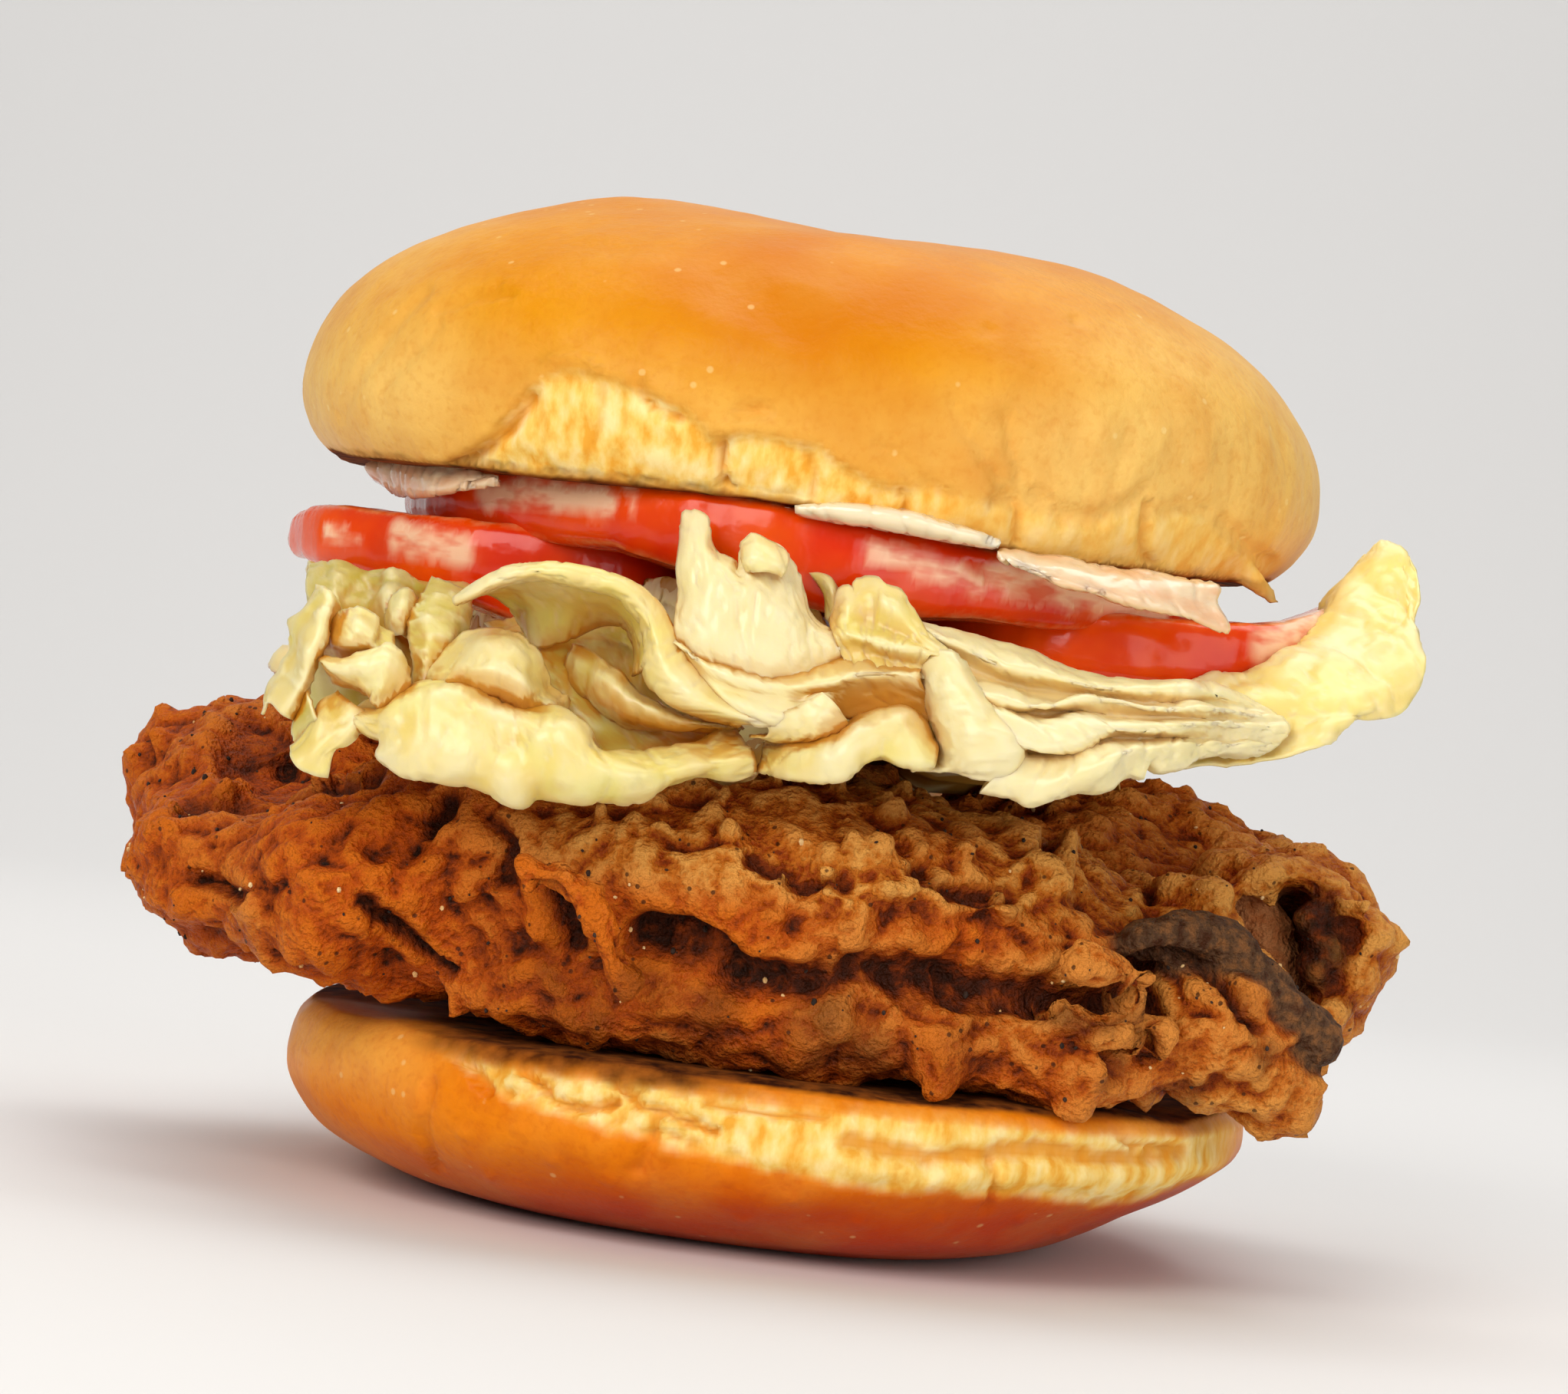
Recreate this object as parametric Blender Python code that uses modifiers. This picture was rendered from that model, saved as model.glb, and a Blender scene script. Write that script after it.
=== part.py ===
"""Chicken burger: a fried fillet with lettuce, tomato and mayonnaise in a soft round bun.

The burger stands on the flat underside of its lower bun half, with the origin at the middle of
that face. Z points up and the open front faces -Y. The pieces are made from the bottom up, and
each leaf of lettuce is laid on what is already stacked below it.
"""

import math

import bmesh
import bpy
import numpy as np
from mathutils import Euler, Matrix, Vector, noise
from mathutils.bvhtree import BVHTree

MM = 0.001
TOUCH_GAP = 0.35 * MM

# Lower bun half
HEEL_RADIUS = 52.2 * MM
HEEL_HEIGHT = 18.4 * MM
HEEL_FOOT_RADIUS = 28.0 * MM
HEEL_WIDEST_Z = 12.5 * MM

# Upper bun half
CROWN_RADIUS = 54.2 * MM
CROWN_HEIGHT = 32.4 * MM
CROWN_WIDEST_Z = 7.5 * MM
CROWN_CUT_Z = 73.8 * MM
CROWN_OFFSET = Vector((-2.8, 0.0, 0.0)) * MM
CROWN_LEAN = math.radians(1.0)
BUN_STEPS = 40

# Fried fillet: its lobes, in millimetres, as (centre, half sizes, turn about Z, dip to the right)
FILLET_LOBES = (
    ((-3, 2, 32.8), (52, 42, 14.2), 0, 0),
    ((-8, -27, 35.5), (45, 23, 12.2), -3, 1),
    ((-3, 31, 32.0), (44, 21, 12.5), 4, 0),
    ((-51, -14, 31.5), (18, 22, 9.5), 14, 0),
    ((-42, -28, 30.0), (17, 17, 8.5), 8, 0),
    ((-55, 12, 37.5), (16.5, 21, 11.0), 0, 0),
    ((-66, 2, 32.5), (6.5, 13, 6.5), 0, 0),
    ((35, 19, 37.5), (24, 26, 12.0), 0, 0),
    ((5, -36, 23.8), (38, 13, 5.6), 0, 0),
    ((43, -32, 28.5), (10, 9, 7.5), 0, 40),
    ((49, -31, 24.0), (6.5, 8, 5.5), 0, 30),
    ((47.0, -25, 34.0), (13, 4.0, 2.8), 0, 40),
    ((48, -2, 35), (10, 8, 10.5), 0, 0),
)
FILLET_FLAP_CENTRE = Vector((51.0, -14.0, 35.0)) * MM
FILLET_FLAP_RADIUS = 8.3 * MM
FILLET_FLAP_THICKNESS = 2.9 * MM
FILLET_FLAP_DEPTH = 9.5 * MM
FILLET_HOLLOWS = (
    ((30.5, -52, 27.8), (6.0, 15, 3.4)),
    ((-55.5, -14, 41.5), (6.0, 13, 3.6)),
    ((52.0, -19, 36.0), (5.0, 13, 6.4)),
    ((43.5, -38, 37.0), (4.5, 10, 3.2)),
)
FILLET_CRAGS = ((12 * MM, 6.0 * MM), (5 * MM, 4.0 * MM))
FILLET_VOXEL = 1.8 * MM
FILLET_TRIANGLES = 4400

# Tomato slices, in millimetres: the middle of the top face, and how far it falls for each
# millimetre to the right
SLICE_STEPS = 34
LOWER_LEFT_SLICE = {"middle": (-27.0, -4.0, 67.6), "radius": 30.0, "thick": 5.2, "fall": 0.022}
LOWER_LEFT_THINNING = -0.025
LOWER_RIGHT_SLICE = {"middle": (30.5, -12.0, 64.7), "radius": 23.0, "thick": 4.4, "fall": -0.07}
UPPER_SLICE = {"middle": (-2.0, -3.0, 72.4), "radius": 43.0, "thick": 5.0, "fall": 0.035}
UPPER_SLICE_THINNING = 0.014
CURL_FROM_X = 33.0 * MM
CURL_RATE = 0.0147 / MM

# Lettuce and mayonnaise sheets: stations are (bearing in degrees, crest radius, crest height,
# rim radius, rim height), in millimetres, with bearing 270 at the front and 0 at the right
LEAF_THICKNESS = 1.2 * MM
LEAF_CLEARANCE = 1.3 * MM
LEAF_SPREAD = 3.4 * MM
MAYO_THICKNESS = 1.0 * MM
MAYO_RADIUS = 44.0 * MM
MAYO_DRIP_BEARING = 323.0
MAYO_DRIP_LENGTH = 4.5 * MM


def clear_scene():
    for old in list(bpy.data.objects):
        bpy.data.objects.remove(old)


def collection(name, rendered=True):
    made = bpy.data.collections.new(name)
    bpy.context.scene.collection.children.link(made)
    made.hide_render = not rendered
    return made


def material(name, colour, roughness):
    """A Principled material of one colour."""
    made = bpy.data.materials.new(name)
    made.use_nodes = True
    shader = made.node_tree.nodes["Principled BSDF"]
    shader.inputs["Base Color"].default_value = (*colour, 1.0)
    shader.inputs["Roughness"].default_value = roughness
    shader.inputs["Metallic"].default_value = 0.0
    return made


def place(name, mesh, group, finish):
    made = bpy.data.objects.new(name, mesh)
    group.objects.link(made)
    mesh.materials.clear()
    mesh.materials.append(finish)
    mesh.shade_smooth()
    mesh.set_sharp_from_angle(angle=math.radians(50))
    bpy.context.view_layer.update()
    return made


def baked(source):
    """The mesh of an object with its modifiers applied."""
    bpy.context.view_layer.update()
    graph = bpy.context.evaluated_depsgraph_get()
    return bpy.data.meshes.new_from_object(source.evaluated_get(graph), depsgraph=graph)


def turned(profile, steps):
    """A solid of revolution about Z from (radius, height) points, listed top to bottom."""
    line = bpy.data.meshes.new("profile")
    points = [(radius, 0.0, height) for radius, height in profile]
    line.from_pydata(points, [(i, i + 1) for i in range(len(points) - 1)], [])
    holder = bpy.data.objects.new("profile", line)
    bpy.context.scene.collection.objects.link(holder)
    screw = holder.modifiers.new("Turn", "SCREW")
    screw.steps = screw.render_steps = steps
    screw.use_merge_vertices = True
    screw.merge_threshold = 1e-5
    mesh = baked(holder)
    bpy.data.objects.remove(holder)
    return mesh


def shaped(mesh, move):
    """The mesh with each point sent through a function."""
    for vertex in mesh.vertices:
        vertex.co = move(vertex.co.copy())
    return mesh


def smooth_step(low, high, value):
    share = min(1.0, max(0.0, (value - low) / (high - low)))
    return share * share * (3.0 - 2.0 * share)


def lumps(point, size, seed):
    """Soft unevenness from -1 to 1 at a point, with features of about this size."""
    return noise.noise(point / size + Vector((seed, 2.0 * seed, 3.0 * seed)))


def near(value, centre, width):
    """A smooth bump of height 1 over a centre, gone at this distance."""
    return smooth_step(width, 0.0, abs(value - centre))


# Lower bun half


def heel_profile(grow=0.0):
    """Cut face, soft rim, full side and flat foot, from the top down. Grown, it cuts room for itself."""
    top = HEEL_HEIGHT + grow
    radius = HEEL_RADIUS + grow
    cut_face = [(radius * share, top) for share in (0.0, 0.35, 0.65, 0.88)]
    rim = [(radius * 0.955, top - 0.3 * MM), (radius * 0.99, top - 2.2 * MM)]
    side = []
    for step in range(7):
        turn = math.radians(90.0 * step / 6)
        out = HEEL_FOOT_RADIUS + (radius - HEEL_FOOT_RADIUS) * math.cos(turn)
        side.append((out, HEEL_WIDEST_Z * (1.0 - math.sin(turn))))
    foot = [(HEEL_FOOT_RADIUS * share, 0.0) for share in (0.6, 0.0)]
    return cut_face + rim + side + foot


def heel_shape(point):
    """Slightly squared, fuller on the left, with a pinch where it was torn from the next bun."""
    bearing = math.atan2(point.y, point.x)
    height = point.z / HEEL_HEIGHT
    squared = 1.0 - 0.012 * math.cos(4.0 * bearing)
    side = smooth_step(0.4, 0.9, math.hypot(point.x, point.y) / HEEL_RADIUS)
    uneven = 1.0 + side * 0.022 * lumps(point, 22 * MM, 4.0) * smooth_step(0.0, 0.3, height)
    leaner_right = 1.0 - 0.17 * smooth_step(0.2, 1.0, math.cos(bearing)) * smooth_step(0.8, 0.2, height)
    factor = squared * uneven * leaner_right
    sag = 0.5 * MM * side * smooth_step(0.8, 1.0, height) * lumps(point, 16 * MM, 8.0)
    return Vector((point.x * factor, point.y * factor, point.z - abs(sag)))


def heel_mesh(grow=0.0):
    return shaped(turned(heel_profile(grow), BUN_STEPS), heel_shape)


# Upper bun half


def crown_profile():
    """Dome, tucked-in side, cut rim and cut face, from the top down."""
    dome = []
    for step in range(10):
        turn = math.radians(90.0 - 90.0 * step / 9)
        out = CROWN_RADIUS * max(0.0, math.cos(turn)) ** 0.90 if step else 0.0
        rise = (CROWN_HEIGHT - CROWN_WIDEST_Z) * math.sin(turn) ** 0.90
        dome.append((out, CROWN_WIDEST_Z + rise))
    tuck = []
    for share in (0.35, 0.65, 0.88, 1.0):
        tuck.append((CROWN_RADIUS * (1.0 - 0.085 * share**2.2), CROWN_WIDEST_Z * (1.0 - share)))
    cut_face = [(CROWN_RADIUS * 0.915 * share, 0.0) for share in (0.7, 0.35, 0.0)]
    return dome + tuck + cut_face


def crown_shape(point):
    """Squared a little, low and full at the left, falling away at the right, torn along the front."""
    bearing = math.atan2(point.y, point.x)
    out = math.hypot(point.x, point.y) / CROWN_RADIUS
    height = point.z / CROWN_HEIGHT
    squared = 1.0 - 0.014 * math.cos(4.0 * bearing)
    uneven = 1.0 + 0.020 * lumps(point, 26 * MM, 2.0) * smooth_step(0.0, 0.25, height)
    factor = squared * uneven
    moved = Vector((point.x * factor, point.y * factor * 0.965, point.z))
    dip = 1.3 * MM * near(point.x, 0.0, 22 * MM) * smooth_step(0.75, 1.0, height)
    swell = 1.6 * MM * lumps(point, 30 * MM, 6.0) * smooth_step(0.3, 1.0, height)
    moved.z += swell - dip
    moved.x -= 3.0 * MM * smooth_step(0.0, 1.0, -point.x / CROWN_RADIUS) * (1.0 - height) * out
    front = smooth_step(0.35, 0.8, -math.sin(bearing)) * smooth_step(0.75, 0.95, out)
    moved.y += 1.5 * MM * front * near(point.z, 6.0 * MM, 8.0 * MM)
    return moved


# Fried fillet


def lobe(builder, centre, half_sizes, turn=0.0, dip=0.0):
    """Adds a rounded lump to a bmesh. Sizes are in millimetres and angles in degrees."""
    stretch = Matrix.Diagonal((*(Vector(half_sizes) * MM), 1.0))
    rotate = Euler((0.0, math.radians(dip), math.radians(turn))).to_matrix().to_4x4()
    at = Matrix.Translation(Vector(centre) * MM)
    bmesh.ops.create_icosphere(builder, subdivisions=4, radius=1.0, matrix=at @ rotate @ stretch)


def lobes_mesh(name, rows):
    builder = bmesh.new()
    for row in rows:
        lobe(builder, *row)
    mesh = bpy.data.meshes.new(name)
    builder.to_mesh(mesh)
    builder.free()
    return mesh


def flap_rows():
    """The curled flap of crust at the right end, as overlapping lumps along an arc."""
    rows = []
    for step in range(11):
        turn = math.radians(-105.0 + 24.0 * step)
        reach = FILLET_FLAP_RADIUS * (1.0 + 0.12 * math.sin(3.0 * turn))
        centre = FILLET_FLAP_CENTRE + Vector((math.cos(turn), 0.0, 1.05 * math.sin(turn))) * reach
        thick = FILLET_FLAP_THICKNESS / MM * (1.0 + 0.18 * math.cos(2.0 * turn))
        rows.append((centre / MM, (thick, FILLET_FLAP_DEPTH / MM, thick), 0, 0))
    return rows


def crag_texture(size):
    texture = bpy.data.textures.new("crags", "CLOUDS")
    texture.noise_scale = size
    texture.noise_depth = 1
    return texture


def fillet_object(group, cutters, finish, heel_room):
    """The lobes melted into one body, hollowed, cragged and cut to sit on the lower bun."""
    fillet = place("chicken_fillet", lobes_mesh("fillet", [*FILLET_LOBES, *flap_rows()]), group, finish)
    hollows = bpy.data.objects.new("fillet_hollows", lobes_mesh("hollows", FILLET_HOLLOWS))
    cutters.objects.link(hollows)
    for cutter in (hollows, heel_room):
        cutter.hide_render = True
        cutter.display_type = "WIRE"
    melt = fillet.modifiers.new("Melt lobes", "REMESH")
    melt.mode = "VOXEL"
    melt.voxel_size = FILLET_VOXEL
    for size, strength in FILLET_CRAGS:
        rough = fillet.modifiers.new("Crags", "DISPLACE")
        rough.texture = crag_texture(size)
        rough.texture_coords = "LOCAL"
        rough.strength = strength
        rough.mid_level = 0.5
    hollow = fillet.modifiers.new("Hollows", "BOOLEAN")
    hollow.operation = "DIFFERENCE"
    hollow.solver = "MANIFOLD"
    hollow.object = hollows
    seat = fillet.modifiers.new("Seat on bun", "BOOLEAN")
    seat.operation = "DIFFERENCE"
    seat.solver = "MANIFOLD"
    seat.object = heel_room
    even = fillet.modifiers.new("Even", "REMESH")
    even.mode = "VOXEL"
    even.voxel_size = FILLET_VOXEL
    soften = fillet.modifiers.new("Soften", "SMOOTH")
    soften.iterations = 1
    return fillet


def thinned(source, triangles):
    """Bakes an object, thinned to about this many triangles, with any loose scrap dropped."""
    count = sum(len(face.vertices) - 2 for face in baked(source).polygons)
    thin = source.modifiers.new("Thin", "DECIMATE")
    thin.use_collapse_triangulate = True
    thin.ratio = triangles / count
    mesh = baked(source)
    source.modifiers.clear()
    source.data = largest_body(mesh)
    bpy.context.view_layer.update()
    return source


def largest_body(mesh):
    """The mesh with only its largest connected body kept."""
    builder = bmesh.new()
    builder.from_mesh(mesh)
    unseen = set(builder.verts)
    bodies = []
    while unseen:
        queue = [unseen.pop()]
        body = set(queue)
        while queue:
            for edge in queue.pop().link_edges:
                for vertex in edge.verts:
                    if vertex in unseen:
                        unseen.remove(vertex)
                        body.add(vertex)
                        queue.append(vertex)
        bodies.append(body)
    bodies.sort(key=len, reverse=True)
    scraps = [vertex for body in bodies[1:] for vertex in body]
    bmesh.ops.delete(builder, geom=scraps, context="VERTS")
    builder.to_mesh(mesh)
    builder.free()
    return mesh


# Tomato slices


def slice_mesh(radius, thick):
    """A disc with a rounded skin, its top face at Z = 0."""
    skin = 0.9 * MM
    top = [(radius * share, 0.0) for share in (0.0, 0.6)] + [(radius - skin, 0.0)]
    edge = [(radius, -0.28 * thick), (radius, -0.72 * thick)]
    bottom = [(radius - skin, -thick), (radius * 0.6, -thick), (0.0, -thick)]
    return turned(top + edge + bottom, SLICE_STEPS)


def slice_shape(row, thinning=0.0, curl=False):
    """Sets a slice leaning in place, with an uneven outline; it may thin or curl to the right."""
    middle = Vector(row["middle"]) * MM
    thick = row["thick"] * MM

    def move(point):
        bearing = math.atan2(point.y, point.x)
        uneven = 1.0 + 0.014 * math.sin(5.0 * bearing + middle.x / MM) + 0.008 * math.sin(9.0 * bearing)
        across = point.x * uneven
        depth = -point.z / thick
        drop = depth * (thick - thinning * across)
        rise = 0.0
        if curl:
            rise = CURL_RATE * max(0.0, middle.x + across - CURL_FROM_X) ** 2
        height = middle.z - row["fall"] * across - drop + rise
        return Vector((middle.x + across, middle.y + point.y * uneven, height))

    return move


def tomato(name, row, group, finish, thinning=0.0, curl=False):
    mesh = shaped(slice_mesh(row["radius"] * MM, row["thick"] * MM), slice_shape(row, thinning, curl))
    return place(name, mesh, group, finish)


# Lettuce


def between(rows, bearing):
    """The station values at a bearing, on a smooth curve through the stations."""
    rows = np.array(rows, dtype=float)
    last = len(rows) - 1
    index = min(max(int(np.searchsorted(rows[:, 0], bearing)) - 1, 0), last - 1)
    share = (bearing - rows[index, 0]) / (rows[index + 1, 0] - rows[index, 0])
    before, start, end, after = (rows[min(max(index + k, 0), last), 1:] for k in (-1, 0, 1, 2))
    line = 2.0 * start + (end - before) * share
    bend = (2.0 * before - 5.0 * start + 4.0 * end - after) * share**2
    turn = (3.0 * start - before - 3.0 * end + after) * share**3
    return 0.5 * (line + bend + turn)


def leaf_point(row, bearing, reach):
    """A point of a leaf, before it is laid down. Reach runs from 0 inside to 1 at the rim."""
    crest_out, crest_up, rim_out, rim_up = between(row["stations"], bearing)
    inner = (1.0 - reach) * (1.0 - 2.0 * reach)
    middle = 4.0 * reach * (1.0 - reach)
    outer = reach * (2.0 * reach - 1.0)
    out = row["root"][0] * inner + crest_out * middle + rim_out * outer
    up = row["root"][1] * inner + crest_up * middle + rim_up * outer
    wave = math.sin(2.0 * math.pi * bearing / row["wave"] + row["seed"])
    stray = noise.noise(Vector((bearing / 4.0, 2.0 * reach, row["seed"])))
    edge = reach**2
    up += row["ruffle"] * edge * (0.8 * wave + 0.7 * stray)
    out += 2.2 * edge * noise.noise(Vector((bearing / 3.0, row["seed"], 7.0)))
    angle = math.radians(bearing)
    return Vector((out * math.cos(angle), out * math.sin(angle), up)) * MM


def highest_below(trees, point, spread):
    """The highest surface under a point or close round it."""
    best = -1.0
    for side in range(9):
        turn = math.radians(45.0 * side)
        step = Vector((math.cos(turn), math.sin(turn), 0.0)) * (spread if side else 0.0)
        start = Vector((point.x, point.y, 0.2)) + step
        for tree in trees:
            hit = tree.ray_cast(start, Vector((0.0, 0.0, -1.0)))[0]
            if hit is not None:
                best = max(best, hit.z)
    return best


def lowest_above(trees, point, spread):
    """The lowest surface over a point or close round it."""
    best = 1.0
    for side in range(9):
        turn = math.radians(45.0 * side)
        step = Vector((math.cos(turn), math.sin(turn), 0.0)) * (spread if side else 0.0)
        start = Vector((point.x, point.y, 0.0)) + step
        for tree in trees:
            hit = tree.ray_cast(start, Vector((0.0, 0.0, 1.0)))[0]
            if hit is not None:
                best = min(best, hit.z)
    return best


def tree_of(thing):
    return BVHTree.FromObject(thing, bpy.context.evaluated_depsgraph_get())


def lettuce(name, row, below, above, group, finish):
    """A thin wavy leaf laid on what is below it and kept under what is above it."""
    floors = [tree_of(thing) for thing in below]
    ceilings = [tree_of(thing) for thing in above]
    first, last = row["stations"][0][0], row["stations"][-1][0]
    columns, bands = row["grid"]
    builder = bmesh.new()
    grid = []
    for column in range(columns + 1):
        bearing = first + (last - first) * column / columns
        line = []
        for band in range(bands + 1):
            point = leaf_point(row, bearing, band / bands)
            roof = lowest_above(ceilings, point, LEAF_SPREAD) - LEAF_CLEARANCE
            floor = highest_below(floors, point, LEAF_SPREAD) + LEAF_CLEARANCE
            point.z = max(min(point.z, roof), floor)
            line.append(builder.verts.new(point))
        grid.append(line)
    for left, right in zip(grid, grid[1:]):
        for band in range(bands):
            corners = (left[band], left[band + 1], right[band + 1], right[band])
            builder.faces.new((corners[0], corners[1], corners[2]))
            builder.faces.new((corners[0], corners[2], corners[3]))
    bmesh.ops.recalc_face_normals(builder, faces=builder.faces)
    mesh = bpy.data.meshes.new(name)
    builder.to_mesh(mesh)
    builder.free()
    leaf = place(name, mesh, group, finish)
    thick = leaf.modifiers.new("Thickness", "SOLIDIFY")
    thick.thickness = LEAF_THICKNESS
    thick.offset = 0.0
    leaf.data = baked(leaf)
    leaf.modifiers.clear()
    bpy.context.view_layer.update()
    return leaf


LEAVES = {
    "lettuce_back": {
        "stations": ((24, 44, 52, 58, 49), (60, 43, 51, 60, 46), (95, 44, 50, 59, 43),
                     (130, 45, 51, 61, 46), (165, 47, 53, 61, 49), (185, 47, 54, 59, 51)),
        "root": (9, 49), "ruffle": 3.4, "wave": 17, "seed": 3.1, "grid": (38, 5),
    },
    "lettuce_left": {
        "stations": ((172, 47, 58, 55, 54), (183, 48, 59, 57, 56), (192, 49, 59, 58, 50),
                     (203, 50, 60, 60, 51), (212, 50, 57.5, 61, 43), (222, 49, 54, 61, 44),
                     (230, 48, 53, 60, 47)),
        "root": (22, 51), "ruffle": 3.4, "wave": 11, "seed": 1.3, "grid": (26, 5),
    },
    "lettuce_front_left": {
        "stations": ((224, 46, 53, 60, 48), (232, 47, 54, 62, 44.5), (240, 48, 53, 62, 42),
                     (250, 49, 51, 61, 43), (258, 49, 52, 60, 45), (266, 48, 53, 59, 48),
                     (276, 47, 54, 58, 50)),
        "root": (20, 52), "ruffle": 1.6, "wave": 13, "seed": 5.2, "grid": (28, 5),
    },
    "lettuce_right": {
        "stations": ((278, 45, 53, 57, 49), (287, 48, 56, 60, 48), (297, 51, 60, 62, 46.5),
                     (310, 52, 60, 63, 48.5), (322, 51, 59.5, 63, 51.5), (335, 50, 59, 64, 56.5),
                     (345, 50, 60, 64, 63), (355, 49, 61, 64, 70), (365, 49, 61, 64, 76),
                     (375, 49, 60, 63, 74), (385, 48, 57, 62, 66), (396, 46, 55, 60, 58)),
        "root": (18, 52), "ruffle": 1.9, "wave": 16, "seed": 2.4, "grid": (42, 5),
    },
    "lettuce_curl": {
        "stations": ((226, 44, 57, 54, 57), (235, 45, 59, 57, 60.8), (243.6, 45, 60, 57, 64.8),
                     (249, 45, 59, 56, 64.1), (253, 44, 58, 55, 60), (256.5, 44, 57, 54, 55.5),
                     (262, 44, 56, 54, 53), (272, 44, 56, 54, 52.5)),
        "root": (20, 54), "ruffle": 0.5, "wave": 9, "seed": 0.4, "grid": (28, 5),
    },
    "lettuce_front": {
        "stations": ((248, 45, 56, 52, 58), (251.5, 46, 58, 52, 71), (255, 46, 58, 52, 71.5),
                     (257.5, 46, 56, 52, 60), (260, 46, 57, 52, 66), (262.5, 46, 58, 52, 68.5),
                     (267, 46, 57, 52, 66), (272, 46, 56, 52, 61), (276, 46, 57, 52, 67),
                     (280, 46, 57, 52, 65), (287, 45, 56, 51, 59)),
        "root": (18, 56), "ruffle": 0.8, "wave": 7, "seed": 8.8, "grid": (30, 5),
    },
    "lettuce_upper_back": {
        "stations": ((30, 44, 61, 54, 62), (65, 43, 62, 57, 57), (100, 43, 62, 56, 59),
                     (135, 44, 60, 57, 57), (170, 45, 59, 56, 60), (200, 45, 59, 54, 60)),
        "root": (9, 57), "ruffle": 3.0, "wave": 14, "seed": 6.6, "grid": (34, 5),
    },
}


# Mayonnaise


def mayo_shape(point):
    """A smear between the upper tomato slice and the crown, thicker to the right, with a drip."""
    bearing = math.atan2(point.y, point.x)
    depth = -point.z / MAYO_THICKNESS
    share = math.hypot(point.x, point.y) / MAYO_RADIUS
    turn = math.degrees(bearing) % 360.0
    drip = near(turn, MAYO_DRIP_BEARING, 15.0) * smooth_step(0.95, 1.0, share)
    out = 1.0 + 0.05 * math.sin(3.0 * bearing + 1.0) + 0.035 * math.sin(7.0 * bearing) + 0.10 * drip
    slice_x, slice_y, slice_z = Vector(UPPER_SLICE["middle"]) * MM
    across = point.x * out
    roof = CROWN_CUT_Z - math.tan(CROWN_LEAN) * (slice_x + across - CROWN_OFFSET.x) - TOUCH_GAP
    floor = slice_z - UPPER_SLICE["fall"] * across + TOUCH_GAP - MAYO_DRIP_LENGTH * drip
    return Vector((slice_x + across, slice_y + point.y * out, roof + (floor - roof) * depth))


def mayo_mesh():
    top = [(MAYO_RADIUS * share, 0.0) for share in (0.0, 0.6, 0.93)]
    edge = [(MAYO_RADIUS, -0.5 * MAYO_THICKNESS)]
    bottom = [(MAYO_RADIUS * share, -MAYO_THICKNESS) for share in (0.93, 0.6, 0.0)]
    return shaped(turned(top + edge + bottom, SLICE_STEPS), mayo_shape)


def build():
    clear_scene()
    burger = collection("chicken_burger")
    cutters = collection("cutters", rendered=False)
    crust = material("baked_crust", (0.75, 0.24, 0.012), 0.35)
    crumb = material("fried_coating", (0.40, 0.115, 0.012), 0.6)
    flesh = material("tomato", (0.60, 0.06, 0.006), 0.25)
    leaf = material("lettuce", (0.82, 0.66, 0.22), 0.45)
    sauce = material("mayonnaise", (0.86, 0.64, 0.36), 0.3)

    heel = place("bun_heel", heel_mesh(), burger, crust)
    room = bpy.data.objects.new("heel_room", heel_mesh(1.2 * TOUCH_GAP))
    cutters.objects.link(room)
    fillet = thinned(fillet_object(burger, cutters, crumb, room), FILLET_TRIANGLES)

    left = tomato("tomato_lower_left", LOWER_LEFT_SLICE, burger, flesh, thinning=LOWER_LEFT_THINNING)
    right = tomato("tomato_lower_right", LOWER_RIGHT_SLICE, burger, flesh, curl=True)
    upper = tomato("tomato_upper", UPPER_SLICE, burger, flesh, thinning=UPPER_SLICE_THINNING)

    pile = [heel, fillet]
    for name, row in LEAVES.items():
        pile.append(lettuce(name, row, pile, (left, right, upper), burger, leaf))

    place("mayonnaise", mayo_mesh(), burger, sauce)
    crown = place("bun_crown", shaped(turned(crown_profile(), BUN_STEPS), crown_shape), burger, crust)
    crown.location = CROWN_OFFSET + Vector((0.0, 0.0, CROWN_CUT_Z))
    crown.rotation_euler = (0.0, CROWN_LEAN, 0.0)
    bpy.context.view_layer.update()


build()
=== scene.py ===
"""Looks of the chicken burger: soft bun, craggy fried fillet, lettuce, tomato and mayonnaise."""
import math

import bmesh
import bpy
import numpy as np
from mathutils import Euler, Matrix, Vector, noise
from mathutils.bvhtree import BVHTree


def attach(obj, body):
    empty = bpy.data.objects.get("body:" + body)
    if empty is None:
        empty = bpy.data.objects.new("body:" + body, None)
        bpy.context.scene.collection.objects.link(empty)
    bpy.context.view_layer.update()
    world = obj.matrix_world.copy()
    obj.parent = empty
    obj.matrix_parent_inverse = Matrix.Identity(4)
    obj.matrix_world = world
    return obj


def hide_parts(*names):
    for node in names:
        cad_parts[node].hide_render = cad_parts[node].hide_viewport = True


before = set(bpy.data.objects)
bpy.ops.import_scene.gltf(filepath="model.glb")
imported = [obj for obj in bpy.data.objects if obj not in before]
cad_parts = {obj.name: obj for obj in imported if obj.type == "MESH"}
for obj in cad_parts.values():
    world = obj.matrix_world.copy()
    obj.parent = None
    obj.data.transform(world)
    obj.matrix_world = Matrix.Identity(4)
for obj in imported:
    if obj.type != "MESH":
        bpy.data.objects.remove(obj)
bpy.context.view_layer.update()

# Camera and studio.
# The burger is seen level, from its open front, and the camera is turned a little, so that the
# stack leans down to the right. Soft boxes stand round it, on a pale seamless sweep.
MM = 0.001
CAMERA_PLACE = Vector((-3.2, -470.0, 55.0)) * MM
CAMERA_TURN = math.radians(7.0)
SENSOR_WIDTH = 36.0
VIEW_WIDTH = 167.5 * MM
WORLD_COLOUR = (1.0, 0.98, 0.95, 1.0)
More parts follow.
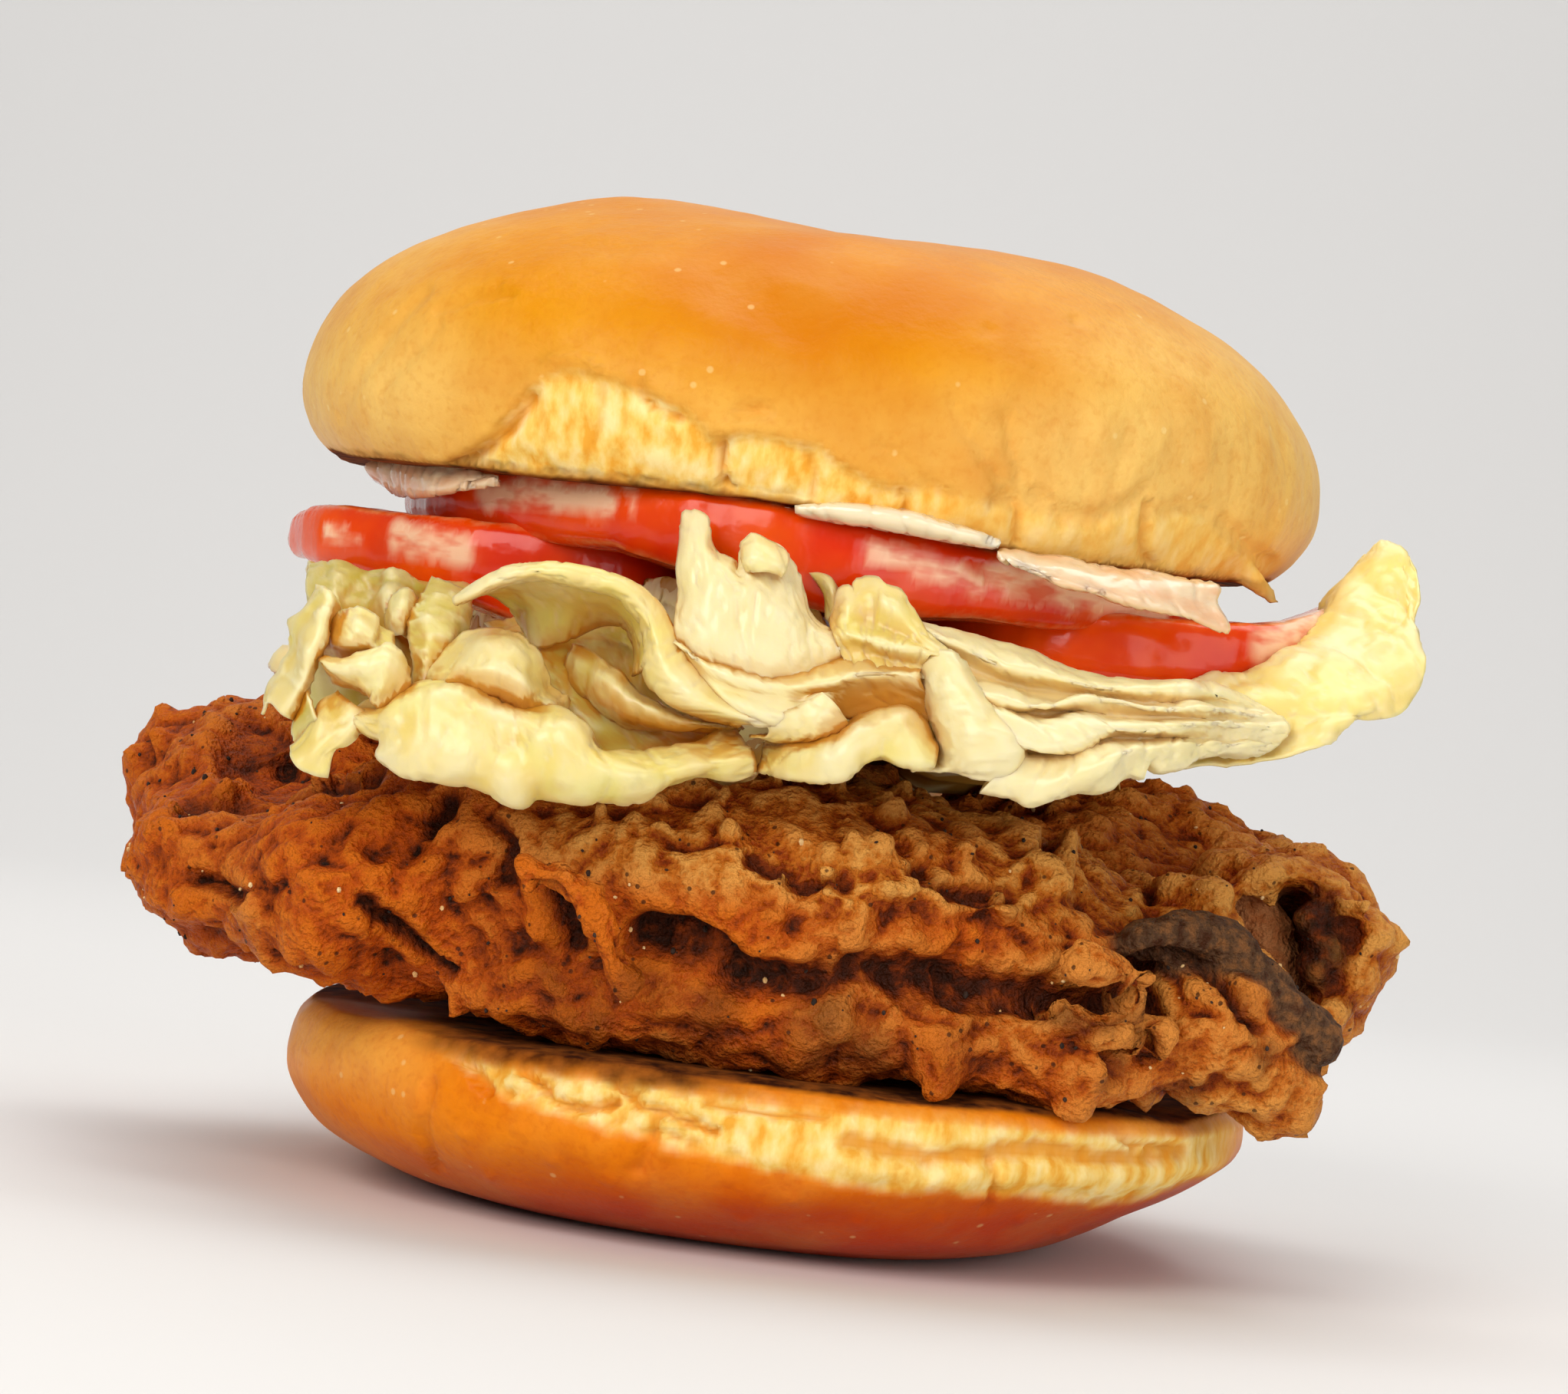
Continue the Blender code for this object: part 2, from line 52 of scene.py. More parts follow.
WORLD_STRENGTH = 0.20
BACKDROP_GREY = (0.80, 0.79, 0.78)
BURGER_MIDDLE = (0.0, 0.0, 0.055)
WALL_MIDDLE = (0.0, 1.1, 0.45)
# Each light: its name, place, aim, size, power and colour.
LIGHTS = (
    ("key_softbox", (-0.30, -0.58, 0.38), BURGER_MIDDLE, 0.45, 3.3, (1.0, 0.97, 0.93)),
    ("fill_softbox", (0.42, -0.62, 0.17), BURGER_MIDDLE, 0.60, 2.5, (1.0, 0.97, 0.94)),
    ("top_softbox", (0.10, 0.16, 0.62), BURGER_MIDDLE, 0.60, 1.3, (1.0, 0.98, 0.96)),
    ("wall_wash", (0.0, 0.30, 1.20), WALL_MIDDLE, 1.20, 9.0, (1.0, 1.0, 1.0)),
)

camera = bpy.data.objects.new("camera", bpy.data.cameras.new("camera"))
camera.matrix_world = (Matrix.Translation(CAMERA_PLACE) @ Matrix.Rotation(math.radians(90), 4, "X")
                       @ Matrix.Rotation(CAMERA_TURN, 4, "Z"))
camera.data.sensor_width = SENSOR_WIDTH
camera.data.lens = SENSOR_WIDTH * -CAMERA_PLACE.y / VIEW_WIDTH
camera.data.clip_start = 0.01
bpy.context.scene.collection.objects.link(camera)
bpy.context.scene.camera = camera
bpy.context.scene.view_settings.view_transform = "Standard"

for name, place, aim, size, watts, tint in LIGHTS:
    lamp = bpy.data.objects.new(name, bpy.data.lights.new(name, "AREA"))
    lamp.data.size = size
    lamp.data.energy = watts
    lamp.data.color = tint
    lamp.location = place
    lamp.rotation_euler = (Vector(aim) - Vector(place)).to_track_quat("-Z", "Y").to_euler()
    bpy.context.scene.collection.objects.link(lamp)

world = bpy.data.worlds.new("studio")
world.use_nodes = True
world.node_tree.nodes["Background"].inputs["Color"].default_value = WORLD_COLOUR
world.node_tree.nodes["Background"].inputs["Strength"].default_value = WORLD_STRENGTH
bpy.context.scene.world = world


def add(tree, kind, inputs=None, **settings):
    """Adds a shader node. Each input takes a value or another node's output."""
    made = tree.nodes.new(kind)
    for name, value in settings.items():
        setattr(made, name, value)
    for name, value in (inputs or {}).items():
        if isinstance(value, bpy.types.NodeSocket):
            tree.links.new(value, made.inputs[name])
        else:
            made.inputs[name].default_value = value
    return made


def finish(name, colour, roughness, sockets=None):
    """A Principled material, with its node tree and shader ready for what varies over it."""
    made = bpy.data.materials.new(name)
    made.use_nodes = True
    shader = made.node_tree.nodes["Principled BSDF"]
    shader.inputs["Base Color"].default_value = (*colour, 1.0)
    shader.inputs["Roughness"].default_value = roughness
    for socket, value in (sockets or {}).items():
        shader.inputs[socket].default_value = value
    return made, made.node_tree, shader


def sweep_mesh(half_width, front, back, rise, steps):
    """A floor that curves up into a wall behind."""
    profile = [(front, 0.0), (back, 0.0)]
    for step in range(1, steps + 1):
        turn = math.radians(90.0 * step / steps)
        profile.append((back + rise * math.sin(turn), rise * (1.0 - math.cos(turn))))
    profile.append((back + rise, rise * 3.0))
    points = [(side, y, z) for y, z in profile for side in (-half_width, half_width)]
    faces = [(2 * i, 2 * i + 1, 2 * i + 3, 2 * i + 2) for i in range(len(profile) - 1)]
    mesh = bpy.data.meshes.new("sweep")
    mesh.from_pydata(points, [], faces)
    mesh.shade_smooth()
    return mesh


backdrop = finish("pale_backdrop", BACKDROP_GREY, 0.9, {"Specular IOR Level": 0.1})[0]
sweep = bpy.data.objects.new("sweep", sweep_mesh(half_width=3.0, front=-2.0, back=0.5, rise=0.7, steps=24))
sweep.data.materials.append(backdrop)
bpy.context.scene.collection.objects.link(sweep)

# Lower bun half.
# Soft enriched bread. Its foot is baked brown and glossy, and along the front it was torn from
# the next bun, so a pale crumb band with a long crease runs there up to the toasted cut face.
HEEL_VOXEL = 0.62 * MM
HEEL_TOP = 17.6
CRUST_ROUNDS = 40
# The torn band's lower edge and the roll along it, as (across, up) seen from the front.
HEEL_TEAR = ((-60, 19.5), (-36, 19.0), (-28, 14.3), (-12, 11.4), (5, 9.6), (21, 9.6), (33, 8.9), (41, 10.4),
             (52, 13.5))
HEEL_ROLL = ((-8, 11.2), (8, 11.6), (16, 10.9), (27, 12.2), (34, 11.4), (44, 12.6))
# Each crease: its line as seen from the front, its width and its depth.
HEEL_CREASES = (
    (((8.2, 13.7), (16.3, 12.7), (26.9, 14.8), (33.0, 13.8), (42.0, 14.6)), 1.6, 0.8),
    (((-34.0, 18.2), (-31.0, 16.8), (-28.9, 15.6), (-27.0, 13.6)), 1.0, 1.0),
    (((-10.4, 13.4), (-10.8, 10.6), (-11.6, 8.2)), 0.9, 0.9),
    (((-33.0, 13.4), (-33.2, 8.6), (-31.8, 4.4)), 0.9, 0.6),
    (((22.2, 13.0), (22.8, 9.6), (22.2, 8.0)), 0.8, 0.6),
    (((-24.0, 16.6), (-20.6, 14.0), (-17.8, 13.4), (-14.4, 14.6)), 0.8, 1.3),
    (((-14.6, 16.6), (-12.6, 14.6), (-9.4, 14.2), (-5.0, 13.0)), 0.8, 1.3),
    (((-6.0, 15.8), (-1.0, 15.4), (6.0, 15.8)), 0.7, 0.8),
    (((34.0, 17.0), (37.0, 15.4), (41.0, 15.2)), 0.7, 0.7),
)
HEEL_BLISTERS = ((-23.5, 10.5), (-17.5, 12.6), (-8.9, 10.3), (-14.2, 7.0), (10.1, 5.5), (-29.0, 9.0),
                 (-3.0, 8.6), (3.4, 7.4), (18.0, 6.4), (-20.0, 7.8), (26.0, 7.0), (31.0, 5.2), (-1.0, 4.4),
                 (-26.0, 5.0))
BLISTER_HEIGHT = 0.28
CRUST_BROWN = (0.50, 0.044, 0.0005)
CRUST_GOLD = (0.82, 0.225, 0.002)
CRUMB_DEEP = (0.84, 0.40, 0.045)
CRUMB_PALE = (0.91, 0.60, 0.14)
CRUMB_CREAM = (0.96, 0.77, 0.34)
CRUMB_PAINTED_SHADE = (0.70, 0.27, 0.02)
TOAST_DARK = (0.045, 0.010, 0.002)
TOAST_BROWN = (0.30, 0.085, 0.010)


def points_of(mesh):
    """The mesh's points and their normals, as arrays in millimetres and unit length."""
    points = np.empty(len(mesh.vertices) * 3)
    mesh.vertices.foreach_get("co", points)
    normals = np.empty(len(mesh.vertices) * 3)
    mesh.vertices.foreach_get("normal", normals)
    return points.reshape(-1, 3) / MM, normals.reshape(-1, 3)


def set_points(mesh, points):
    """Moves a mesh's points to these places, in millimetres."""
    mesh.vertices.foreach_set("co", (points * MM).ravel())
    mesh.update()


def add_lump(shell, place, sizes, turn=(0.0, 0.0, 0.0), detail=2):
    """Adds a rounded lump to a mesh, with its place and half sizes in millimetres."""
    matrix = (Matrix.Translation(Vector(place) * MM) @ Euler(turn).to_matrix().to_4x4()
              @ Matrix.Diagonal((*(Vector(sizes) * MM), 1.0)))
    bmesh.ops.create_icosphere(shell, subdivisions=detail, radius=1.0, matrix=matrix)


def beads(line, radius):
    """Lumps along a line, close enough to melt into one strand."""
    for start, end in zip(line, line[1:]):
        start, end = Vector(start), Vector(end)
        count = max(1, round((end - start).length / (0.45 * radius)))
        for step in range(count + 1):
            yield start.lerp(end, step / count), (radius,) * 3, (0.0, 0.0, 0.0)


def fine_copy(node, name, voxel, smoothing=3, lumps=()):
    """A finely meshed copy of a CAD node with added lumps, for the piece that replaces it."""
    shell = bmesh.new()
    shell.from_mesh(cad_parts[node].data)
    for place, sizes, turn in lumps:
        add_lump(shell, place, sizes, turn)
    mesh = bpy.data.meshes.new(name)
    shell.to_mesh(mesh)
    shell.free()
    piece = bpy.data.objects.new(name, mesh)
    bpy.context.scene.collection.objects.link(piece)
    melt = piece.modifiers.new("Even", "REMESH")
    melt.mode = "VOXEL"
    melt.voxel_size = voxel
    melt.use_smooth_shade = True
    soften = piece.modifiers.new("Soften", "SMOOTH")
    soften.iterations = smoothing
    graph = bpy.context.evaluated_depsgraph_get()
    melted = bpy.data.meshes.new_from_object(piece.evaluated_get(graph), depsgraph=graph)
    piece.modifiers.clear()
    piece.data = melted
    return piece


def noise_at(points, size, seed):
    """Soft noise from about -1 to 1, with features of this size in millimetres, also by axis."""
    scaled = points / np.array(size, dtype=float) + np.array((seed, 2.0 * seed, 3.0 * seed))
    return np.array([noise.noise(point) for point in scaled.tolist()])


def eased(low, high, value):
    """A soft step from 0 at low to 1 at high."""
    share = np.clip((value - low) / (high - low), 0.0, 1.0)
    return share * share * (3.0 - 2.0 * share)


def along(stations, across):
    """The height of a line through (x, height) stations."""
    xs, heights = np.array(stations, dtype=float).T
    return np.interp(across, xs, heights)


def from_line(points, line):
    """How far points lie from a line: seen from the front where it is flat, else in space."""
    flat = points[:, (0, 2)] if len(line[0]) == 2 else points
    nearest = np.full(len(points), np.inf)
    for start, end in zip(line, line[1:]):
        start, run = np.array(start), np.array(end) - np.array(start)
        share = np.clip((flat - start) @ run / (run @ run), 0.0, 1.0)
        nearest = np.minimum(nearest, np.linalg.norm(flat - start - share[:, None] * run, axis=1))
    return nearest


def softened(mesh, rounds, values):
    """Values at a mesh's points, averaged with their neighbours' for this many rounds."""
    edges = np.empty(len(mesh.edges) * 2, dtype=np.int32)
    mesh.edges.foreach_get("vertices", edges)
    first, second = edges.reshape(-1, 2).T
    size = len(values)
    count = np.maximum(np.bincount(first, minlength=size) + np.bincount(second, minlength=size), 1)
    smooth = values.copy()
    for _ in range(rounds):
        for axis in range(3):
            value = smooth[:, axis]
            near = (np.bincount(first, weights=value[second], minlength=size)
                    + np.bincount(second, weights=value[first], minlength=size))
            smooth[:, axis] = 0.5 * value + 0.5 * near / count
    return smooth


def hollows(mesh, rounds):
    """How far each point lies below the mesh smoothed around it, in millimetres: above 0 in a hollow."""
    points, normals = points_of(mesh)
    return ((softened(mesh, rounds, points) - points) * normals).sum(axis=1)


def mark(mesh, name, values):
    """Stores a value for each point, for the material to read."""
    layer = mesh.attributes.new(name, "FLOAT", "POINT")
    layer.data.foreach_set("value", np.asarray(values, dtype=np.float32))


def marked(tree, name):
    """A mark stored on the mesh, as a shader value."""
    return add(tree, "ShaderNodeAttribute", attribute_name=name).outputs["Fac"]


def object_noise(tree, size_mm, detail=3.0, stretch=None):
    """Noise on the piece's own coordinates, with features of about this size in millimetres."""
    where = add(tree, "ShaderNodeTexCoord").outputs["Object"]
    if stretch:
        where = add(tree, "ShaderNodeMapping", {"Vector": where, "Scale": stretch}).outputs["Vector"]
    made = add(tree, "ShaderNodeTexNoise", {"Vector": where, "Scale": 1000.0 / size_mm, "Detail": detail})
    return made.outputs["Fac"]


def object_specks(tree, apart_mm, size, edge=0.04):
    """Small round specks, about this far apart: 1 in a speck and 0 between them."""
    where = add(tree, "ShaderNodeTexCoord").outputs["Object"]
    cells = add(tree, "ShaderNodeTexVoronoi", {"Vector": where, "Scale": 1000.0 / apart_mm})
    return ramp(tree, cells.outputs["Distance"], ((size, 1.0), (size + edge, 0.0)))


def ramp(tree, share, stops):
    """A colour ramp from (position, colour) stops."""
    made = add(tree, "ShaderNodeValToRGB", {"Fac": share})
    elements = made.color_ramp.elements
    while len(elements) < len(stops):
        elements.new(0.5)
    for element, (place, colour) in zip(elements, stops):
        element.position = place
        element.color = (*colour, 1.0) if isinstance(colour, tuple) else (colour,) * 3 + (1.0,)
    return made.outputs["Color"]


def mixed(tree, share, first, second, how="MIX"):
    """One colour over another, by a share."""
    made = add(tree, "ShaderNodeMix", data_type="RGBA", blend_type=how)
    for socket, value in (("Factor_Float", share), ("A_Color", first), ("B_Color", second)):
        target = next(end for end in made.inputs if end.identifier == socket)
        if isinstance(value, bpy.types.NodeSocket):
            tree.links.new(value, target)
        else:
            target.default_value = (*value, 1.0) if isinstance(value, tuple) else value
    return next(end for end in made.outputs if end.identifier == "Result_Color")


def times(tree, first, second):
    """The product of two shader values."""
    return add(tree, "ShaderNodeMath", {0: first, 1: second}, operation="MULTIPLY").outputs["Value"]


def plus(tree, first, second):
    """The sum of two shader values."""
    return add(tree, "ShaderNodeMath", {0: first, 1: second}, operation="ADD").outputs["Value"]


def bumped(tree, shader, height, distance_mm, strength):
    """Gives a material a fine bump by a height from 0 to 1."""
    bump = add(tree, "ShaderNodeBump", {"Height": height, "Distance": distance_mm * MM, "Strength": strength})
    tree.links.new(bump.outputs["Normal"], shader.inputs["Normal"])


def dressed(piece, material, slot, *nodes):
    """Gives a piece its material and its place on the burger."""
    piece.data.materials.append(material)
    if nodes:
        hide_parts(*nodes)
    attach(piece, "root")


def bread_finish(name, brown, gold, pale):
    """Baked crust, torn crumb and toasted cut face, by the marks bake, pale, torn, crease_shade and toast;
    crease_shade is painted shade.
    """
    made, tree, shader = finish(name, gold, 0.4, {"Subsurface Weight": 0.04, "Specular IOR Level": 0.1})
    shader.inputs["Subsurface Radius"].default_value = (1.0, 0.40, 0.08)
    shader.inputs["Subsurface Scale"].default_value = 1.4 * MM
    patches = object_noise(tree, 11.0, 4.0)
    fine = object_noise(tree, 0.9, 5.0)
    crust = mixed(tree, marked(tree, "pale"), gold, pale)
    crust = mixed(tree, marked(tree, "bake"), crust, brown)
    crust = mixed(tree, ramp(tree, patches, ((0.46, 0.0), (0.74, 0.14))), crust, pale)
    crust = mixed(tree, ramp(tree, patches, ((0.26, 0.30), (0.44, 0.0))), crust, brown)
    crust = mixed(tree, ramp(tree, object_noise(tree, 3.2, 4.0), ((0.34, 0.16), (0.52, 0.0))), crust, brown)
    crust = mixed(tree, ramp(tree, fine, ((0.30, 0.20), (0.50, 0.0))), crust, brown)
    crust = mixed(tree, times(tree, object_specks(tree, 4.2, 0.06), 0.3), crust, CRUMB_CREAM)
    fibre = object_noise(tree, 1.9, 6.0, (1.0, 1.0, 0.45))
    crumb = ramp(tree, fibre, ((0.33, CRUMB_DEEP), (0.47, CRUMB_PALE), (0.66, CRUMB_CREAM)))
    # Painted shade in the crumb's creases and hollows.
    crumb = mixed(tree, times(tree, marked(tree, "crease_shade"), 0.8), crumb, CRUMB_PAINTED_SHADE)
    colour = mixed(tree, marked(tree, "torn"), crust, crumb)
    toasted = ramp(tree, object_noise(tree, 2.4, 5.0), ((0.36, TOAST_DARK), (0.66, TOAST_BROWN)))
    colour = mixed(tree, marked(tree, "toast"), colour, toasted)
    tree.links.new(colour, shader.inputs["Base Color"])
    dull = plus(tree, marked(tree, "torn"), marked(tree, "toast"))
    tree.links.new(ramp(tree, dull, ((0.0, 0.40), (0.8, 0.95))), shader.inputs["Roughness"])
    bumped(tree, shader, mixed(tree, marked(tree, "torn"), fine, fibre), 0.22, 0.55)
    return made


def front_of(points):
    """1 over the front of the burger, fading to 0 towards its sides."""
    bearing = np.degrees(np.arctan2(points[:, 1], points[:, 0]))
    return eased(80.0, 58.0, np.abs(bearing + 90.0))


heel = fine_copy("bun_heel", "heel_bread", HEEL_VOXEL)
points, normals = points_of(heel.data)
x, y, z = points.T
keep = eased(0.8, 3.5, z) * eased(HEEL_TOP, 15.0, z)
points += (softened(heel.data, CRUST_ROUNDS, points) - points) * keep[:, None]
front = front_of(points)
edge = along(HEEL_TEAR, x) + 0.8 * noise_at(points, 5.0, 3.0) + 0.5 * noise_at(points, 1.6, 5.0)
side_wall = eased(0.8, 0.45, normals[:, 2])
torn = front * eased(edge - 0.7, edge + 0.7, z) * side_wall
ragged = torn * eased(-30.0, -25.0, x) * eased(2.0, -8.0, x)
top_face = eased(0.72, 0.92, normals[:, 2]) * eased(16.3, HEEL_TOP, z)
# The crust swells softly. The torn band lies lower and is rougher, most of all left of the middle.
relief = 0.45 * noise_at(points, (9.0, 9.0, 5.0), 1.0) * eased(0.5, 4.0, z)
relief += torn * (0.30 * noise_at(points, (3.4, 3.4, 2.0), 2.0)
                  + 0.25 * noise_at(points, (1.4, 1.4, 1.8), 4.0) - 0.35)
relief += ragged * (noise_at(points, (2.6, 2.6, 1.5), 7.0) + 0.5 * noise_at(points, 1.2, 8.0) - 0.2)
roll = np.abs(z - along(HEEL_ROLL, x))
relief += 0.7 * eased(2.4, 0.2, roll) * torn * eased(-8.0, 4.0, x)
crease_shade = np.zeros(len(points))
for line, width, depth in HEEL_CREASES:
    away = from_line(points, line) + 0.3 * noise_at(points, 1.7, 9.0)
    near = eased(width, 0.15 * width, away) * front * side_wall
    relief -= depth * near
    crease_shade = np.maximum(crease_shade, near)
for across, up in HEEL_BLISTERS:
    relief += BLISTER_HEIGHT * eased(1.0, 0.2, np.hypot(x - across, z - up)) * front
points += normals * (relief * eased(0.0, 1.5, z))[:, None]
points[:, 2] = np.maximum(points[:, 2], 0.0)
set_points(heel.data, points)
rim = front * eased(15.6, 17.4, z + 0.9 * noise_at(points, 3.0, 12.0))
# The front wall's top, left of the middle, is painted dark: toasting, with painted shade from the fillet
# above.
toasted_and_shaded_rim = rim * eased(-38.0, -30.0, x) * eased(2.0, -9.0, x) * 0.9
left_end = eased(-30.0, -38.0, x) * eased(0.0, -20.0, y)
baked_foot = eased(11.5, 2.5, z - 0.10 * (x + 10.0) + 1.6 * noise_at(points, 7.0, 14.0))
pale_ends = 0.30 * eased(28.0, 44.0, x) + 0.35 * eased(-30.0, -42.0, x) * eased(8.0, 15.0, z)
mark(heel.data, "torn", torn)
# Painted shade: the creases and hollows get the crease_shade mark.
mark(heel.data, "crease_shade", np.clip(0.75 * crease_shade + 2.2 * hollows(heel.data, 10), 0.0, 1.0))
mark(heel.data, "toast", np.maximum(top_face * (1.0 - 0.85 * left_end), toasted_and_shaded_rim))
mark(heel.data, "bake", np.clip(baked_foot * eased(-52.0, -26.0, x), 0.0, 1.0))
mark(heel.data, "pale", np.clip(pale_ends, 0.0, 1.0))
dressed(heel, bread_finish("heel_bread", CRUST_BROWN, CRUST_GOLD, CRUMB_PALE), "baked_crust", "bun_heel")

# Fried fillet.
# One large chicken fillet in a thick seasoned flour coat. Frying leaves knobs, folds and flakes;
# shade is painted dark into the hollows and grooves, and a pale highlight onto the tips. A thin
# charred strip and a curled flap stand at its right end, and ground pepper and loose crumbs stick to the
# coat.
FILLET_VOXEL = 0.71 * MM
OUTWARD_ROUNDS = 18
COAT_DRAWN_IN = 0.55
NODULES = 1100
NODULE_SEED = 3
# Strands of coat, as lines in space.
STRIP = ((35.0, -38.0, 35.6), (38.8, -36.6, 36.3), (42.6, -35.2, 36.4), (45.9, -34.9, 34.0),
         (49.6, -34.6, 30.9), (53.8, -34.0, 28.0))
OVERHANG = ((28.4, -48.0, 33.5), (31.5, -48.0, 33.1), (34.1, -46.5, 32.3))
CURLED_FLAKE = ((-25.2, -51.6, 35.0), (-22.0, -52.4, 35.6), (-19.3, -52.8, 33.7), (-17.0, -52.8, 30.3),
                (-15.0, -51.6, 26.5))
INNER_FOLD = ((24.4, -43.0, 26.4), (27.4, -45.0, 27.8), (30.8, -45.5, 26.6), (34.0, -44.5, 28.2),
              (37.0, -43.0, 26.6))
FLAP_LINING = ((46.6, -13.0, 38.5), (48.9, -13.5, 36.2), (50.2, -13.5, 32.6))
FLAP_CHAR = ((53.6, -19.0, 38.9), (55.0, -19.5, 36.4), (54.3, -19.5, 34.0))
COAT_STRANDS = ((STRIP, 2.9), (OVERHANG, 2.4), (CURLED_FLAKE, 1.8), (INNER_FOLD, 2.0), (FLAP_LINING, 4.2),
                (FLAP_CHAR, 2.3))
# Each groove: its line as seen from the front, its width, its depth and how dark the shade painted into it
# is.
GROOVES = (
    (((-13.7, 29.7), (-9.2, 30.5), (-4.8, 28.3), (2.3, 27.9), (6.8, 29.7), (13.0, 30.1), (19.2, 28.8),
      (24.5, 29.2)), 2.6, 1.9, 0.6),
    (((25.4, 28.8), (29.0, 27.4), (33.4, 29.2)), 3.0, 1.2, 0.7),
    (((34.7, 33.2), (35.4, 29.6), (36.4, 25.5)), 1.9, 2.8, 0.9),
    (((35.4, 34.0), (40.9, 34.0), (43.6, 31.7), (47.3, 28.5)), 1.4, 2.2, 0.8),
    (((-40.7, 30.3), (-38.0, 28.1), (-34.4, 25.4), (-32.7, 24.3)), 1.3, 2.4, 1.0),
    (((-62.4, 37.4), (-57.7, 38.3), (-53.1, 39.7), (-46.6, 42.0), (-42.9, 42.9)), 2.0, 2.4, 0.8),
    (((-23.4, 33.8), (-21.4, 31.1), (-20.2, 28.9)), 1.6, 2.2, 0.9),
    (((-12.8, 30.7), (-9.2, 29.8)), 3.2, 1.2, 0.8),
    (((-36.5, 38.5), (-34.7, 41.6)), 1.6, 1.8, 0.7),
    (((24.8, 43.7), (25.8, 46.9)), 1.5, 2.5, 0.9),
    (((35.0, 42.6), (36.0, 39.8)), 1.3, 2.0, 0.9),
    (((-54.4, 28.8), (-59.9, 30.2)), 1.4, 1.6, 0.6),
    (((-30.0, 40.0), (-27.4, 37.2), (-28.6, 33.6)), 1.2, 1.5, 0.5),
    (((-4.0, 39.5), (1.0, 37.6), (4.6, 38.4)), 1.3, 1.5, 0.5),
    (((12.0, 40.6), (16.0, 38.4), (21.0, 38.6)), 1.3, 1.6, 0.5),
)
COAT_BLACK = (0.022, 0.006, 0.002)
COAT_DARK = (0.13, 0.018, 0.001)
COAT_DEEP = (0.30, 0.044, 0.001)
COAT_ORANGE = (0.46, 0.070, 0.001)
COAT_TAN = (0.62, 0.138, 0.005)
TIP_TAN = (0.54, 0.160, 0.012)
TIP_HIGHLIGHT_PALE = (0.74, 0.34, 0.070)
COAT_SPECK = (0.04, 0.012, 0.004)
CHAR_AND_SHADE_BROWN = (0.075, 0.014, 0.003)
CHAR_AND_SHADE_EDGE = (0.24, 0.040, 0.003)
STRIP_DARK = (0.06, 0.018, 0.005)
STRIP_GREY = (0.10, 0.048, 0.022)
STRIP_BROWN = (0.22, 0.09, 0.030)
LINING_BROWN = (0.42, 0.13, 0.035)
LINING_PINK = (0.52, 0.21, 0.075)
PEPPER_BLACK = (0.016, 0.010, 0.007)
PEPPER_BROWN = (0.04, 0.018, 0.010)
CRUMB_TAN = (0.70, 0.42, 0.16)
CRUMB_LIGHT = (0.82, 0.60, 0.30)


def spread_over(mesh, count, seed):
    """Places spread evenly over a mesh, with their normals and a size share for each."""
    mesh.calc_loop_triangles()
    corners = np.empty(len(mesh.loop_triangles) * 3, dtype=np.int32)
    mesh.loop_triangles.foreach_get("vertices", corners)
    first, second, third = points_of(mesh)[0][corners.reshape(-1, 3)].transpose(1, 0, 2)
    facing = np.cross(second - first, third - first)
    area = np.linalg.norm(facing, axis=1)
    chance = np.random.default_rng(seed)
    pick = np.minimum(np.searchsorted(np.cumsum(area), chance.random(count) * area.sum()), len(area) - 1)
    u, v = chance.random((2, count, 1))
    u, v = np.where(u + v > 1.0, 1.0 - u, u), np.where(u + v > 1.0, 1.0 - v, v)
    places = first[pick] + u * (second[pick] - first[pick]) + v * (third[pick] - first[pick])
    return places, facing[pick] / np.maximum(area[pick], 1e-9)[:, None], chance.random(count)


def coat_lumps():
    """The strip, the flap's inside, the overhang and flake, and many small nodules of batter."""
    for line, radius in COAT_STRANDS:
        yield from beads(line, radius)
    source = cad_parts["chicken_fillet"].data
    for place, normal, share in zip(*spread_over(source, NODULES, NODULE_SEED)):
        crowd = place[0] > -26.0 and place[1] < -18.0 and place[2] > 37.0
        radius = 0.8 + (1.6 if crowd else 1.1) * share * share
        sizes = (radius, 0.85 * radius, 0.65 * radius)
        turn = (9.0 * share, 7.0 * share * share, 11.0 * share)
        yield Vector(place + normal * radius * (0.35 if crowd else -0.1)), sizes, turn


def knobs(points, size, seed):
    """Rounded knobs of about this size, with sharp creases between them."""
    scaled = points / size + np.array((seed, seed, seed))
    return np.array([0.42 - 1.2 * noise.voronoi(point)[0][0] ** 2 for point in scaled.tolist()])


fillet = fine_copy("chicken_fillet", "fried_coating", FILLET_VOXEL, 1, coat_lumps())
points, normals = points_of(fillet.data)
x, y, z = points.T
wander = np.stack([noise_at(points, 6.0, seed) for seed in (1.0, 2.0, 3.0)], axis=1)
bent = points + 2.8 * wander
